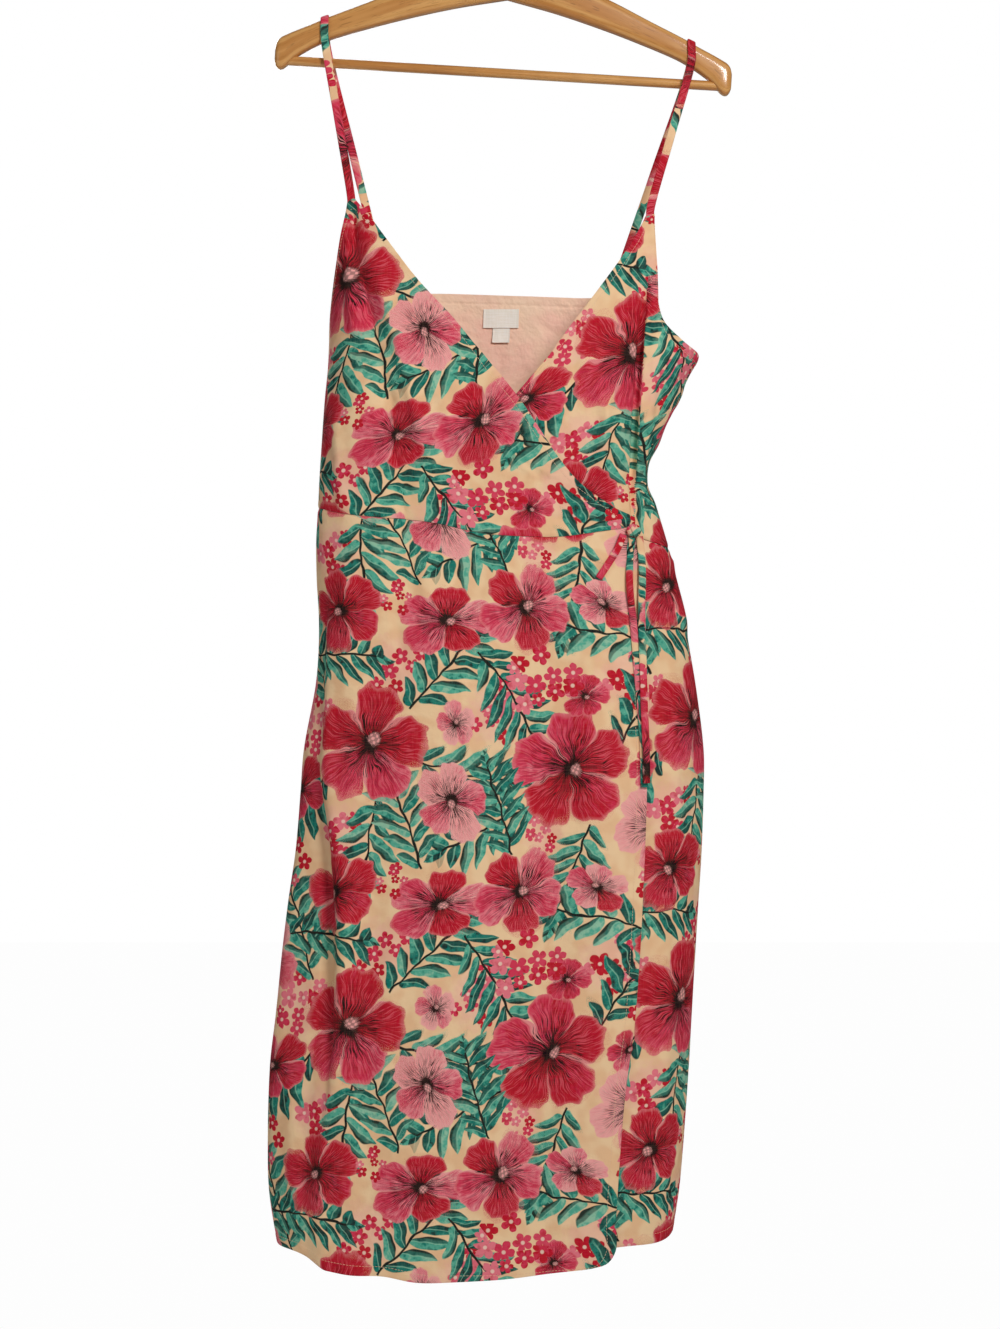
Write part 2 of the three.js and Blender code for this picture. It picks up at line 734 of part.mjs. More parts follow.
function tieEnd(route, crossing) {
  const outside = (z) => (crossing ? TIE_STEP * smooth(655, 700, -z) : 0);
  const path = route.map(({ x, z }) => before(x, z, TIE_REST + outside(z)));
  return ribbon(curveThrough(path).getSpacedPoints(18), TIE_WIDTH, TIE_DEPTH, new THREE.Vector3(1, 0, 0));
}

// The turned-down short end: out from the knot, a narrow turn, and back
function tieLoop() {
  const legGap = 1.4 + TIE_DEPTH * 0.7;
  const low = TIE_REST - 0.2;
  const out = [
    { x: 103, z: -650, at: low },
    { x: 97, z: -664, at: low },
    { x: 87, z: -680, at: low },
    { x: 81, z: -689, at: low + legGap * 0.1 },
    { x: 79.5, z: -691.5, at: low + legGap * 0.5 },
    { x: 81, z: -689, at: low + legGap * 0.9 },
    { x: 87, z: -680, at: low + legGap },
    { x: 97, z: -664, at: low + legGap },
    { x: 103, z: -650, at: low + legGap },
  ];
  const path = out.map(({ x, z, at }) => before(x, z, at));
  const across = new THREE.Vector3(0.83, 0, -0.56);
  return ribbon(curveThrough(path).getSpacedPoints(26), TIE_WIDTH, TIE_DEPTH * 0.7, across);
}

function finish(color, roughness, metalness = 0) {
  return new THREE.MeshStandardMaterial({ color, roughness, metalness });
}

const PRINT = finish(0xd98a86, 0.85);
const LINING = finish(0xe1af96, 0.9);
const LABEL = finish(0xe6e1dc, 0.85);
const WOOD = finish(0xc8915a, 0.35);
const STEEL = finish(0xb8bac0, 0.25, 1);

const dress = new THREE.Group();
function add(name, geometry, material) {
  const node = new THREE.Mesh(geometry, material);
  node.name = name;
  dress.add(node);
}

add("over_bodice", overBodice(), PRINT);
add("under_bodice", underBodice(), PRINT);
add("back_bodice", backBodice(), PRINT);
add("back_lining", backLining(), LINING);
add("over_skirt", overSkirt(), PRINT);
add("under_skirt", underSkirt(), PRINT);
add("back_skirt", backSkirt(), PRINT);
add("strap_right", strap(STRAPS.right), PRINT);
add("strap_left", strap(STRAPS.left), PRINT);
add("tie_knot", tieKnot(), PRINT);
add("tie_loop", tieLoop(), PRINT);
add("tie_end_front", tieEnd(TIE_FRONT, false), PRINT);
add("tie_end_back", tieEnd(TIE_BACK, true), PRINT);
add("neck_label", insideLabel({ left: -31, right: 4, low: -440.5, high: -422 }, LABEL_OUT), LABEL);
add("size_tag", insideLabel({ left: -22, right: -5, low: -455, high: -441 }, LABEL_OUT), LABEL);
add("hanger_arm_left", hangerArm(-1), WOOD);
add("hanger_arm_right", hangerArm(1), WOOD);
add("hanger_bar", hangerBar(), WOOD);
add("hanger_hook", hangerHook(), STEEL);

export default dress;
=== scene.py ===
# The looks of a sleeveless wrap dress with spaghetti straps, hanging on a wooden clothes hanger.
# Sizes are millimetres in the tables, as a maker writes them, and metres in the meshes.

import math
from functools import partial

import bpy
import numpy as np
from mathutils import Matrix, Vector

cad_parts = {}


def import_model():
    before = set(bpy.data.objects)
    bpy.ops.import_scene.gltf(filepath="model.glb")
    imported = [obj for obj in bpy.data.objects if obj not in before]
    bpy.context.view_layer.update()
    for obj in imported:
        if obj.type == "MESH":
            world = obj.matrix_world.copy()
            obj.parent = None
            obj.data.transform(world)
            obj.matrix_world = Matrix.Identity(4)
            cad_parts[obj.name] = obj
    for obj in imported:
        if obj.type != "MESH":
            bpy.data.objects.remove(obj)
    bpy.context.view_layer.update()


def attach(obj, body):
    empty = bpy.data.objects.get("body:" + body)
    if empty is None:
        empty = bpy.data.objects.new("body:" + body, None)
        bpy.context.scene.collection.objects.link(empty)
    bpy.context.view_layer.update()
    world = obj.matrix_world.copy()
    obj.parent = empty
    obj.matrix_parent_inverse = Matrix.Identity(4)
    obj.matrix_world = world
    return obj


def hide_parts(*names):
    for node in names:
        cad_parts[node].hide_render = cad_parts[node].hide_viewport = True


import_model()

MM = 0.001
SHARP = math.radians(50)  # edges that turn by more are shown sharp
BODY = "root"

# Cloth sizes
WALL = 1.6  # outer face of a panel from the garment's inner surface
CLOTH = 0.8  # the shell that shows
SEAM_GAP = 0.4  # between the panels at a seam
LAYER_STEP = 3.7  # how far the over pieces lie outside the under pieces
STEP_OUT = (-180, -152)  # the over pieces step out between these, from their own side seam inwards
SEAM_TURN = 0.05  # they lie on the body up to here
LINING_OUT = -0.3  # the lining lies this far within the garment's inner surface
LABEL_OUT = LINING_OUT - WALL - 0.45  # the labels lie on the lining's inner face
SIDE_SEAM = math.radians(12)  # the side seams lie this far round behind the outline
FLATNESS = 0.6  # how far a section departs from an ellipse towards a flat front
PITCH = 3.2  # grid of the cloth meshes
FINE_PITCH = 2.2  # where a fold is sharp
FOLD_FADE = 0.2  # share of a fold's length over which it grows, at each end
BACK_FADE, FRONT_FADE = 0.5, 0.35  # below this sine of the turn, folds die out towards the sides
CREASE_DEPTH = 1.5  # times the rises in a panel's own table of creases
CALM_ENDS, CALM_SIDES = 14, 10  # creases grow over these distances from a panel's edges
CALM = 0.25  # what is left of a crease at an edge

# Straps and ties
STRAP_WIDTH = 8.0
STRAP_DEPTH = 2.0
TIE_WIDTH = 7.0
TIE_DEPTH = 2.2
TIE_REST = WALL + LAYER_STEP + 0.8 + TIE_DEPTH / 2  # a tie's middle from the garment's inner surface
TIE_STEP = 3.4  # how far the tie that crosses over lies outside the other
TUBE_GIRTH = 18  # cloth around a strap or a tie
TUBE_BLUNT, ARM_BLUNT = 0.6, 0.62  # a section's corners, from 1 for an ellipse towards 0 for a rectangle
KNOT = {"x": 113, "z": -646, "width": 15, "height": 13, "depth": 10}

# Hanger, in its own plane: u along the bar, v up, from the hook's crown. Angles are degrees.
HANGER_TILT = 3.4
BAR = {"v": -198.5, "radius": 4.6, "reach": 218}
HOOK = {"wire": 1.9, "radius": 20.9, "seat": -116, "from": -35, "to": 206, "step": 15}


def table(columns, *rows):
    return {name: np.array(values, float) for name, values in zip(columns, zip(*rows))}


# Left and right outline from the front, front and back depth from the hanger's plane
SECTIONS = table(
    ("z", "left", "right", "front", "back"),
    (-300, -179, 176, 27, 22),
    (-326, -178, 176, 29, 24),
    (-411, -178, 180, 43, 38),
    (-475, -180, 177, 50, 43),
    (-491, -181, 169, 51, 44),
    (-515, -183.5, 157, 52, 44),
    (-565, -187, 137, 49, 42),
    (-597, -189, 129, 46, 40),
    (-620, -190, 136, 45, 39),
    (-657, -192, 147, 46, 40),
    (-711, -191, 160, 51, 44),
    (-757, -191, 168, 54, 47),
    (-799, -194, 175, 57, 50),
    (-857, -204, 182, 60, 53),
    (-896, -207, 182, 61, 55),
    (-955, -212, 180, 62, 56),
    (-1003, -219, 177, 63, 57),
    (-1052, -225, 174, 63, 58),
    (-1112, -231, 170.5, 64, 58),
    (-1165, -237, 167.5, 64, 58),
    (-1248, -239, 161.5, 63, 58),
    (-1292, -237, 157, 62, 57),
    (-1360, -225, 145, 61, 56),
)

# Folds along a line from (x0, z0) to (x1, z1) that bows sideways. A positive rise stands out.
FOLD_COLUMNS = ("x0", "z0", "x1", "z1", "bow", "width", "rise")
FRONT_FOLDS = table(
    FOLD_COLUMNS,
    (-157, -322, -127, -468, 4, 7, -5),
    (-148, -350, -72, -600, -6, 13, 3.5),
    (-118, -385, -14, -612, -8, 13, 2.6),
    (-96, -420, 70, -628, -6, 11, 2),
    (-132, -495, -104, -645, -3, 10, -4),
    (-106, -575, -94, -750, 2, 12, -3.5),
    (128, -340, 124, -392, 0, 7, -3),
    (128, -412, 112, -622, 4, 9, -8),
    (152, -462, 127, -610, 3, 12, 4),
    (140, -575, 116, -650, 0, 6, -3),
    (148, -700, 118, -650, 0, 8, -3),
    (-58, -640, -84, -1420, 6, 34, 5),
    (-128, -655, -142, -1420, 3, 22, -4),
    (22, -690, 30, -1420, -5, 30, -5),
    (84, -680, 70, -1420, 4, 26, 4),
    (148, -760, 136, -1420, 4, 20, 4),
)
BACK_FOLDS = table(
    FOLD_COLUMNS,
    (-68, -400, -96, -660, 4, 16, -3),
    (48, -400, 34, -660, -3, 18, 3),
    (104, -430, 88, -650, 3, 14, -4),
    (-104, -640, -126, -1420, 5, 30, 6),
    (-40, -650, -46, -1420, -5, 28, -6),
    (40, -640, 46, -1420, 6, 28, 6),
    (104, -680, 112, -1420, -4, 24, -5),
)

# The skirt turns under along this line at its left side, and the cloth beyond it lies deeper
SIDE_TUCK = table(
    ("z", "x", "deep"),
    (-790, -191, 0),
    (-850, -191, 4),
    (-900, -188, 10),
    (-965, -172, 17),
    (-1041, -171, 19),
    (-1111, -178, 17),
    (-1179, -187, 14),
    (-1239, -191, 12),
    (-1293, -194, 10),
    (-1360, -188, 8),
)
TUCK_SOFTNESS = 10  # the cloth turns under over this distance to either side of the line


def smooth(low, high, value):
    t = np.clip((value - low) / (high - low), 0, 1)
    return t * t * (3 - 2 * t)


# A bump of height 1 at a place
def bell(value, place, width):
    return np.exp(-(((value - place) / width) ** 2))


# A step's parts along a direction and across it
def in_line(dx, dy, angle):
    cos, sin = math.cos(math.radians(angle)), math.sin(math.radians(angle))
    return dx * cos + dy * sin, dy * cos - dx * sin


# Reads one column of a table at some heights, on a smooth curve through its rows.
# Heights fall from row to row.
def along(rows, key, z):
    heights, values = rows["z"], rows[key]
    last = len(heights) - 1
    i = np.clip(np.searchsorted(-heights, -np.asarray(z, float)) - 1, 0, last - 1)
    place = np.arange(last + 1)
    ahead, behind = np.minimum(place + 1, last), np.maximum(place - 1, 0)
    slope = (values[ahead] - values[behind]) / (heights[ahead] - heights[behind])
    span = heights[i + 1] - heights[i]
    t = np.clip((z - heights[i]) / span, 0, 1)
    rise = values[i + 1] - values[i]
    a = slope[i] * span - rise
    b = rise - slope[i + 1] * span
    return values[i] + t * rise + t * (1 - t) * ((1 - t) * a + t * b)


def fold_height(folds, x, z):
    height = np.zeros(np.shape(x))
    for x0, z0, x1, z1, bow, width, rise in zip(*(folds[key] for key in FOLD_COLUMNS)):
        dx, dz = x1 - x0, z1 - z0
        length = math.hypot(dx, dz)
        u = ((x - x0) * dx + (z - z0) * dz) / length**2
        off = ((x - x0) * dz - (z - z0) * dx) / length - bow * 4 * u * (1 - u)
        fade = smooth(0, FOLD_FADE, u) * smooth(0, FOLD_FADE, 1 - u)
        height += rise * fade * bell(off, 0, width)
    return height


# The middle and half the width of the dress from the front
def outline(z):
    left, right = along(SECTIONS, "left", z), along(SECTIONS, "right", z)
    return (left + right) / 2, (right - left) / 2


# A place on the garment's inner surface. turn goes from the left outline (0) over the front to the right
# one (half a circle) and on over the back.
def hang(turn, z):
    turn, z = np.broadcast_arrays(np.asarray(turn, float), np.asarray(z, float))
    middle, half = outline(z)
    across, out = np.cos(turn), np.sin(turn)
    x = middle - half * across
    bulge = np.abs(out) * (1 + FLATNESS * across**2)
    behind = along(SECTIONS, "back", z) * bulge + fold_height(BACK_FOLDS, x, z) * smooth(0, BACK_FADE, -out)
    ahead = along(SECTIONS, "front", z) * bulge + fold_height(FRONT_FOLDS, x, z) * smooth(0, FRONT_FADE, out)
    beyond = smooth(-TUCK_SOFTNESS, TUCK_SOFTNESS, along(SIDE_TUCK, "x", z) - x)
    tuck = along(SIDE_TUCK, "deep", z) * beyond * smooth(0, BACK_FADE, out)
    return np.stack([x, np.where(out < 0, behind, tuck - ahead), z], axis=-1)


def steps_along(points, axis=0):
    return np.linalg.norm(np.diff(points, axis=axis), axis=-1)


# Distance from the first of some points to each, along them
def reach_along(points):
    return np.concatenate([[0], np.cumsum(steps_along(points))])


def unit(vectors):
    return vectors / np.linalg.norm(vectors, axis=-1, keepdims=True)


# The outward direction at a place, from small steps around and up
def facing(turn, z):
    step, rise = 0.012, 2
    around = hang(turn + step, z) - hang(turn - step, z)
    up = hang(turn, z + rise) - hang(turn, z - rise)
    return unit(np.cross(around, up))


def skin(turn, z, out):
    return hang(turn, z) + facing(turn, z) * np.asarray(out)[..., None]


# The place at x and z, on the front or on the back, as its turn and z
def front(x, z):
    middle, half = outline(z)
    return float(np.arccos(np.clip((middle - x) / half, -1, 1))), z


def back(x, z):
    return 2 * math.pi - front(x, z)[0], z


def over_lift(turn, z):
    return np.where(turn < SEAM_TURN, 0, LAYER_STEP * smooth(*STEP_OUT, hang(turn, z)[..., 0]))


def no_lift(turn, z):
    return np.zeros(np.shape(turn))


# Centripetal curves through points, evenly spaced
def curve_through(points, steps, fine=24):
    points = np.array(points, float)
    points = np.vstack([2 * points[0] - points[1], points, 2 * points[-1] - points[-2]])
    gap = np.sqrt(steps_along(points))
    drawn = []
    for i in range(1, len(points) - 2):
        p0, p1, p2, p3 = points[i - 1 : i + 3]
        d0, d1, d2 = gap[i - 1 : i + 2]
        start = ((p1 - p0) / d0 - (p2 - p0) / (d0 + d1) + (p2 - p1) / d1) * d1
        end = ((p2 - p1) / d1 - (p3 - p1) / (d1 + d2) + (p3 - p2) / d2) * d1
        t = np.linspace(0, 1, fine, endpoint=False)[:, None]
        rise = p2 - p1
        drawn.append(p1 + start * t + (3 * rise - 2 * start - end) * t**2 + (start + end - 2 * rise) * t**3)
    drawn = np.vstack([*drawn, points[-2:-1]])
    reach = reach_along(drawn)
    wanted = np.linspace(0, reach[-1], steps + 1)
    return np.stack([np.interp(wanted, reach, drawn[:, k]) for k in range(drawn.shape[1])], axis=1)


TURN_SCALE = 190  # millimetres of cloth to a radian, roughly
EDGE_STEPS = 400  # places on an edge's curve


# An edge is a line of EDGE_STEPS + 1 places. Each part is a list of places and its share of the edge.
def edge(*parts):
    shares = np.cumsum([0] + [share for _, share in parts])
    ends = np.round(shares / shares[-1] * EDGE_STEPS).astype(int)
    pieces = []
    for (places, _), low, high in zip(parts, ends[:-1], ends[1:]):
        line = curve_through([(turn * TURN_SCALE, z) for turn, z in places], high - low)
        pieces.append(line if not pieces else line[1:])
    line = np.vstack(pieces)
    return np.stack([line[:, 0] / TURN_SCALE, line[:, 1]], axis=1)


def raised(line, dz):
    return line + np.array([0, dz])


def upright(turn, low, high):
    return np.stack([np.full(EDGE_STEPS + 1, turn), np.linspace(low, high, EDGE_STEPS + 1)], axis=1)


def with_end(line, which, place):
    line = line.copy()
    line[which] = place
    return line


# Grid lines every pitch, with close ones near an end that has a stitched band
BAND = (0.0, 0.7, 1.6, 3.0, 5.5, 8.2, 9.0, 9.6, 10.2, 11.0, 13.0)
ROLL = (0.0, 0.9, 2.0, 3.8)
STITCH_INSET = 9.6


def spacing(length, pitch, at_start, at_end):
    starts, ends = np.array(at_start), length - np.array(at_end)[::-1]
    count = max(2, round((ends[0] - starts[-1]) / pitch))
    middle = np.linspace(starts[-1], ends[0], count + 1)[1:-1]
    return np.concatenate([starts, middle, ends]) / length


def read_edge(line, share):
    place = np.linspace(0, 1, len(line))
    return np.stack([np.interp(share, place, line[:, k]) for k in range(2)], axis=-1)


def fill(bottom, top, left, right, s, r):
    b, t = read_edge(bottom, s)[None], read_edge(top, s)[None]
    le, ri = read_edge(left, r)[:, None], read_edge(right, r)[:, None]
    s, r = s[None, :, None], r[:, None, None]
    flat = (1 - r) * b + r * t + (1 - s) * le + s * ri
    corners = (1 - s) * (1 - r) * bottom[0] + s * (1 - r) * bottom[-1]
    corners = corners + (1 - s) * r * top[0] + s * r * top[-1]
    places = flat - corners
    return places[..., 0], places[..., 1]


def line_length(line, lift):
    turn, z = line.T
    return float(steps_along(skin(turn, z, lift(turn, z) + WALL)).sum())


# Distance along the cloth from centre front, for the print's own straight grain
TURNS = np.linspace(-0.6, 2 * math.pi + 0.2, 361)
HEIGHTS = np.arange(-1380, -290, 6.0)


def girth_table():
    places = hang(TURNS[None, :], HEIGHTS[:, None])
    reach = np.hstack([np.zeros((len(HEIGHTS), 1)), np.cumsum(steps_along(places, 1), axis=1)])
    centre = np.array([np.interp(math.pi / 2, TURNS, row) for row in reach])
    return reach - centre[:, None]


GIRTH = girth_table()


def girth(turn, z):
    i = np.clip((z - HEIGHTS[0]) / (HEIGHTS[1] - HEIGHTS[0]), 0, len(HEIGHTS) - 1.001)
    j = np.clip((turn - TURNS[0]) / (TURNS[1] - TURNS[0]), 0, len(TURNS) - 1.001)
    i0, j0 = i.astype(int), j.astype(int)
    fi, fj = i - i0, j - j0
    low = GIRTH[i0, j0] * (1 - fj) + GIRTH[i0, j0 + 1] * fj
    high = GIRTH[i0 + 1, j0] * (1 - fj) + GIRTH[i0 + 1, j0 + 1] * fj
    return low * (1 - fi) + high * fi


# Meshes
def add_to_scene(name, data):
    made = bpy.data.objects.new(name, data)
    bpy.context.scene.collection.objects.link(made)
    return made


def new_object(name, points, faces, materials, face_material=None):
    mesh = bpy.data.meshes.new(name)
    mesh.from_pydata((np.asarray(points) * MM).tolist(), [], [list(map(int, f)) for f in faces])
    for material in materials:
        mesh.materials.append(material)
    if face_material is not None:
        mesh.polygons.foreach_set("material_index", np.asarray(face_material, dtype=np.int32))
    mesh.shade_smooth()
    mesh.set_sharp_from_angle(angle=SHARP)
    piece = add_to_scene(name, mesh)
    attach(piece, BODY)
    return piece


def corner_points(mesh):
    corners = np.empty(len(mesh.loops), dtype=np.int32)
    mesh.loops.foreach_get("vertex_index", corners)
    return corners


# Keeps each corner's place in the cloth or the wood
def store_grain(mesh, places):
    layer = mesh.uv_layers.new(name="grain")
    layer.uv.foreach_set("vector", (places * MM).ravel())


def grain_map(piece, uv):
    store_grain(piece.data, uv[corner_points(piece.data)])


def grid_faces(rows, columns, start=0, flip=False):
    a = (np.arange(rows - 1)[:, None] * columns + np.arange(columns - 1)[None, :]).ravel() + start
    order = (a, a + columns, a + columns + 1, a + 1) if flip else (a, a + 1, a + columns + 1, a + columns)
    return np.stack(order, axis=1)


# The rim of a grid as a closed loop of point numbers, anticlockwise from the front
def rim_loop(rows, columns):
    foot = np.arange(columns)
    right = np.arange(1, rows) * columns + columns - 1
    head = (rows - 1) * columns + np.arange(columns - 1)[::-1]
    left = np.arange(1, rows - 1)[::-1] * columns
    return np.concatenate([foot, right, head, left])


# Outer and inner points of a thin sheet over a grid, and its faces: outer ones, inner ones and the rim
def closed_sheet(outer, inner):
    rows, columns = outer.shape[:2]
    count = rows * columns
    loop = rim_loop(rows, columns)
    ahead = np.roll(loop, -1)
    rim = np.stack([loop, loop + count, ahead + count, ahead], axis=1)
    outside, inside = grid_faces(rows, columns), grid_faces(rows, columns, count, flip=True)
    points = np.vstack([outer.reshape(-1, 3), inner.reshape(-1, 3)])
    slots = np.repeat([0, 1, 0], [len(outside), len(inside), len(rim)])
    return points, np.vstack([outside, inside, rim]), slots


# Takes the diagonals of a piece's surface grid, and keeps nothing of them
def lay_flat(surface):
    diagonals = surface[1:, 1:] - surface[:-1, :-1], surface[1:, :-1] - surface[:-1, 1:]


# Hides the imported part that a piece stands for
def stands_for(node):
    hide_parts(node)


# How a panel's outer face rises or dips near an edge: stitches pull in, turned cloth stands out within
# them, and the very edge rolls in. A seam is pulled in too, with a low swell beside it.
STITCH_DIP, TURN_RISE, EDGE_ROLL = 0.32, 0.28, 0.5
SEAM_DIP, SEAM_SWELL = 0.75, 0.16


def band_relief(d):
    within = 1 - smooth(STITCH_INSET - 0.6, STITCH_INSET + 1.6, d)
    return TURN_RISE * within - STITCH_DIP * bell(d, STITCH_INSET, 0.8) - EDGE_ROLL * bell(d, 0, 0.8)


def seam_relief(d):
    return SEAM_SWELL * bell(d, 4.5, 2.2) - SEAM_DIP * bell(d, 0, 1.7)


def free_relief(d):
    return np.zeros(np.shape(d))


RELIEF = {
    "band": (band_relief, BAND),
    "seam": (seam_relief, ROLL),
    "free": (free_relief, (0.0, 2.0)),
}


# Where the print jumps, because cloth is folded away along a line
def fold_shift(centres, top, foot, jump):
    (x0, z0), (x1, z1) = top, foot
    share = np.clip((centres[:, 2] - z0) / (z1 - z0), 0, 1)
    beyond = (centres[:, 0] > x0 + (x1 - x0) * share) & (centres[:, 2] < z0) & (centres[:, 1] < 0)
    return beyond[:, None] * np.array(jump, float)


STITCH_LINES = []
STITCH_ROOM = 2.2  # a piece this many times deeper than the stitches' distance has them


# The line at the stitches' distance from an edge, as far as the piece is deep enough for it
def stitch_line(outer, distance, by_column):
    if not by_column:
        outer, distance = outer.transpose(1, 0, 2), distance.T
    line = []
    for j in range(outer.shape[1]):
        d, points = distance[:, j], outer[:, j]
        if d.max() < STITCH_ROOM * STITCH_INSET:
            continue
        order = np.argsort(d)
        line.append([np.interp(STITCH_INSET, d[order], points[order, k]) for k in range(3)])
    return np.array(line)


# One cut panel as a thin closed shell. edges names what is sewn along its bottom, top, left and right.
def panel(name, lines, edges, inside, print_shift, lift, creases, sides=(0, 0), fold=None, pitch=PITCH):
    bottom, top, left, right = lines
    widths = [line_length(line, lift) for line in (bottom, top)]
    heights = [line_length(line, lift) for line in (left, right)]
    (rb, band_b), (rt, band_t), (rl, band_l), (rr, band_r) = (RELIEF[kind] for kind in edges)
    s = spacing(max(widths), pitch, band_l, band_r)
    r = spacing(max(heights), pitch, band_b, band_t)
    turn, z = fill(bottom, top, left, right, s, r)
    if sides != (0, 0):
        at, level, step = turn[:, :1], z[:, :1], 0.01
        pace = np.linalg.norm(hang(at + step, level) - hang(at - step, level), axis=-1) / (2 * step)
        turn[:, :1] += sides[0] / pace
        turn[:, -1:] += sides[1] / pace
    surface = skin(turn, z, lift(turn, z) + WALL)
    from_left = np.hstack([np.zeros((len(r), 1)), np.cumsum(steps_along(surface, 1), axis=1)])
    from_foot = np.vstack([np.zeros((1, len(s))), np.cumsum(steps_along(surface), axis=0)])
    from_right = from_left[:, -1:] - from_left
    from_top = from_foot[-1:] - from_foot
    relief = rb(from_foot) + rt(from_top) + rl(from_left) + rr(from_right)
    clear = smooth(0, CALM_ENDS, np.minimum(from_foot, from_top))
    clear = clear * smooth(0, CALM_SIDES, np.minimum(from_left, from_right))
    relief = relief + CREASE_DEPTH * fold_height(creases, surface[..., 0], z) * (CALM + (1 - CALM) * clear)
    normal = facing(turn, z)
    outer = surface + normal * relief[..., None]
    inner = outer - normal * CLOTH
    points, faces, slots = closed_sheet(outer, inner)
    piece = new_object(name + "_cloth", points, faces, [PRINT, inside], slots)
    u = girth(turn, z).ravel() + print_shift[0]
    v = z.ravel() + print_shift[1]
    face_shift = None if fold is None else fold_shift(points[faces].mean(axis=1), **fold)
    paint(piece, np.tile(u, 2), np.tile(v, 2), face_shift)
    distances = (from_foot, from_top, from_left, from_right)
    for kind, distance, by_column in zip(edges, distances, (True, True, False, False)):
        if kind == "band":
            STITCH_LINES.append(stitch_line(outer, distance, by_column))
    lay_flat(surface)
    stands_for(name)


# A small hand for wiring nodes: sums and products of sockets read as arithmetic
class Wire:
    def __init__(self, tree, socket):
        self.tree = tree
        self.socket = socket

    def __add__(self, other):
        return calculate("ADD", self, other)

    def __sub__(self, other):
        return calculate("SUBTRACT", self, other)

    def __mul__(self, other):
        return calculate("MULTIPLY", self, other)

    def __truediv__(self, other):
        return calculate("DIVIDE", self, other)

    __radd__ = __add__
    __rmul__ = __mul__

    def __rsub__(self, other):
        return calculate("SUBTRACT", other, self)


# A new node with its settings, and with its inputs set to a value or linked to a wire
def add_node(tree, kind, values=(), **settings):
    node = tree.nodes.new(kind)
    for key, value in settings.items():
        setattr(node, key, value)
    for key, value in dict(values).items():
        if isinstance(value, Wire):
            tree.links.new(value.socket, node.inputs[key])
        else:
            node.inputs[key].default_value = value
    return node


# Sockets by name, with underscores for blanks
def with_blanks(values):
    return {name.replace("_", " "): value for name, value in values.items()}


def give(node, **wires):
    for name, wire in with_blanks(wires).items():
        wire.tree.links.new(wire.socket, node.inputs[name])


def tree_of(values):
    return next(value.tree for value in values if isinstance(value, Wire))


def calculate(operation, *values, clamp=False):
    tree = tree_of(values)
    node = add_node(tree, "ShaderNodeMath", enumerate(values), operation=operation, use_clamp=clamp)
    return Wire(tree, node.outputs[0])


absolute, fraction, larger, power, root, sine = (
    partial(calculate, operation) for operation in ("ABSOLUTE", "FRACT", "MAXIMUM", "POWER", "SQRT", "SINE")
)


def distance(x, y):
    return root(x * x + y * y)


# 0 below low, 1 above high, and softly between. With low above high it falls instead.
def ramp(value, low, high):
    rising = isinstance(low, Wire) or isinstance(high, Wire) or low < high
    ends = (low, high, 0, 1) if rising else (high, low, 1, 0)
    values = dict(zip(("From Min", "From Max", "To Min", "To Max"), ends), Value=value)
    node = add_node(value.tree, "ShaderNodeMapRange", values, interpolation_type="SMOOTHSTEP")
    return Wire(value.tree, node.outputs["Result"])


# The mix node's colours are its sockets 6 and 7, and its result is socket 2
def blend(share, low, high):
    tree = tree_of((share, low, high))
    node = add_node(tree, "ShaderNodeMix", {"Factor": share, 6: low, 7: high}, data_type="RGBA")
    return Wire(tree, node.outputs[2])


# A colour with others laid over it, each by its own share
def coats(colour, *over):
    for share, next_colour in over:
        colour = blend(share, colour, next_colour)
    return colour


def split(vector):
    node = add_node(vector.tree, "ShaderNodeSeparateXYZ", {0: vector})
    return tuple(Wire(vector.tree, socket) for socket in node.outputs)


def vector_of(tree, x, y, z=0.0):
    return Wire(tree, add_node(tree, "ShaderNodeCombineXYZ", enumerate((x, y, z))).outputs[0])


def vector_sum(a, b):
    return Wire(a.tree, add_node(a.tree, "ShaderNodeVectorMath", {0: a, 1: b}, operation="ADD").outputs[0])


def noise(vector, scale, detail=2.0, roughness=0.5, output=0):
    values = {"Vector": vector, "Scale": scale, "Detail": detail, "Roughness": roughness}
    node = add_node(vector.tree, "ShaderNodeTexNoise", values, noise_dimensions="2D")
    return Wire(vector.tree, node.outputs[output])


# Three even random numbers that stay the same for one value
def chances(value):
    node = add_node(value.tree, "ShaderNodeTexWhiteNoise", {"W": value}, noise_dimensions="1D")
    return split(Wire(value.tree, node.outputs["Color"]))


def new_group(name, inputs, outputs):
    tree = bpy.data.node_groups.new(name, "ShaderNodeTree")
    for way, sockets in (("INPUT", inputs), ("OUTPUT", outputs)):
        for socket_name, kind in sockets:
            tree.interface.new_socket(socket_name, in_out=way, socket_type="NodeSocket" + kind)
    start = tree.nodes.new("NodeGroupInput")
    end = tree.nodes.new("NodeGroupOutput")
    return tree, {s.name: Wire(tree, s) for s in start.outputs if s.name}, end


def use_group(tree, group, **values):
    node = add_node(tree, "ShaderNodeGroup", values, node_tree=group)
    return {s.name: Wire(tree, s) for s in node.outputs}


def dye(*levels):
    shares = [level / 255 for level in levels]
    linear = [v / 12.92 if v <= 10 / 255 else ((v + 0.055) / 1.055) ** 2.4 for v in shares]
    return (*linear, 1.0)


# Dyes of the print
PEACH = dye(250, 212, 166)
PEACH_DEEP = dye(243, 196, 150)
CRIMSON = dye(198, 3, 40)
CRIMSON_DEEP = dye(112, 0, 22)
ROSE = dye(220, 52, 86)
PINK = dye(238, 122, 136)
BLUSH = dye(250, 176, 170)
CREAM = dye(252, 222, 200)
WINE = dye(20, 0, 10)
TEAL = dye(0, 122, 108)
TEAL_DEEP = dye(0, 50, 50)
AQUA = dye(84, 176, 150)
AQUA_PALE = dye(150, 200, 170)
STEM = dye(2, 20, 24)

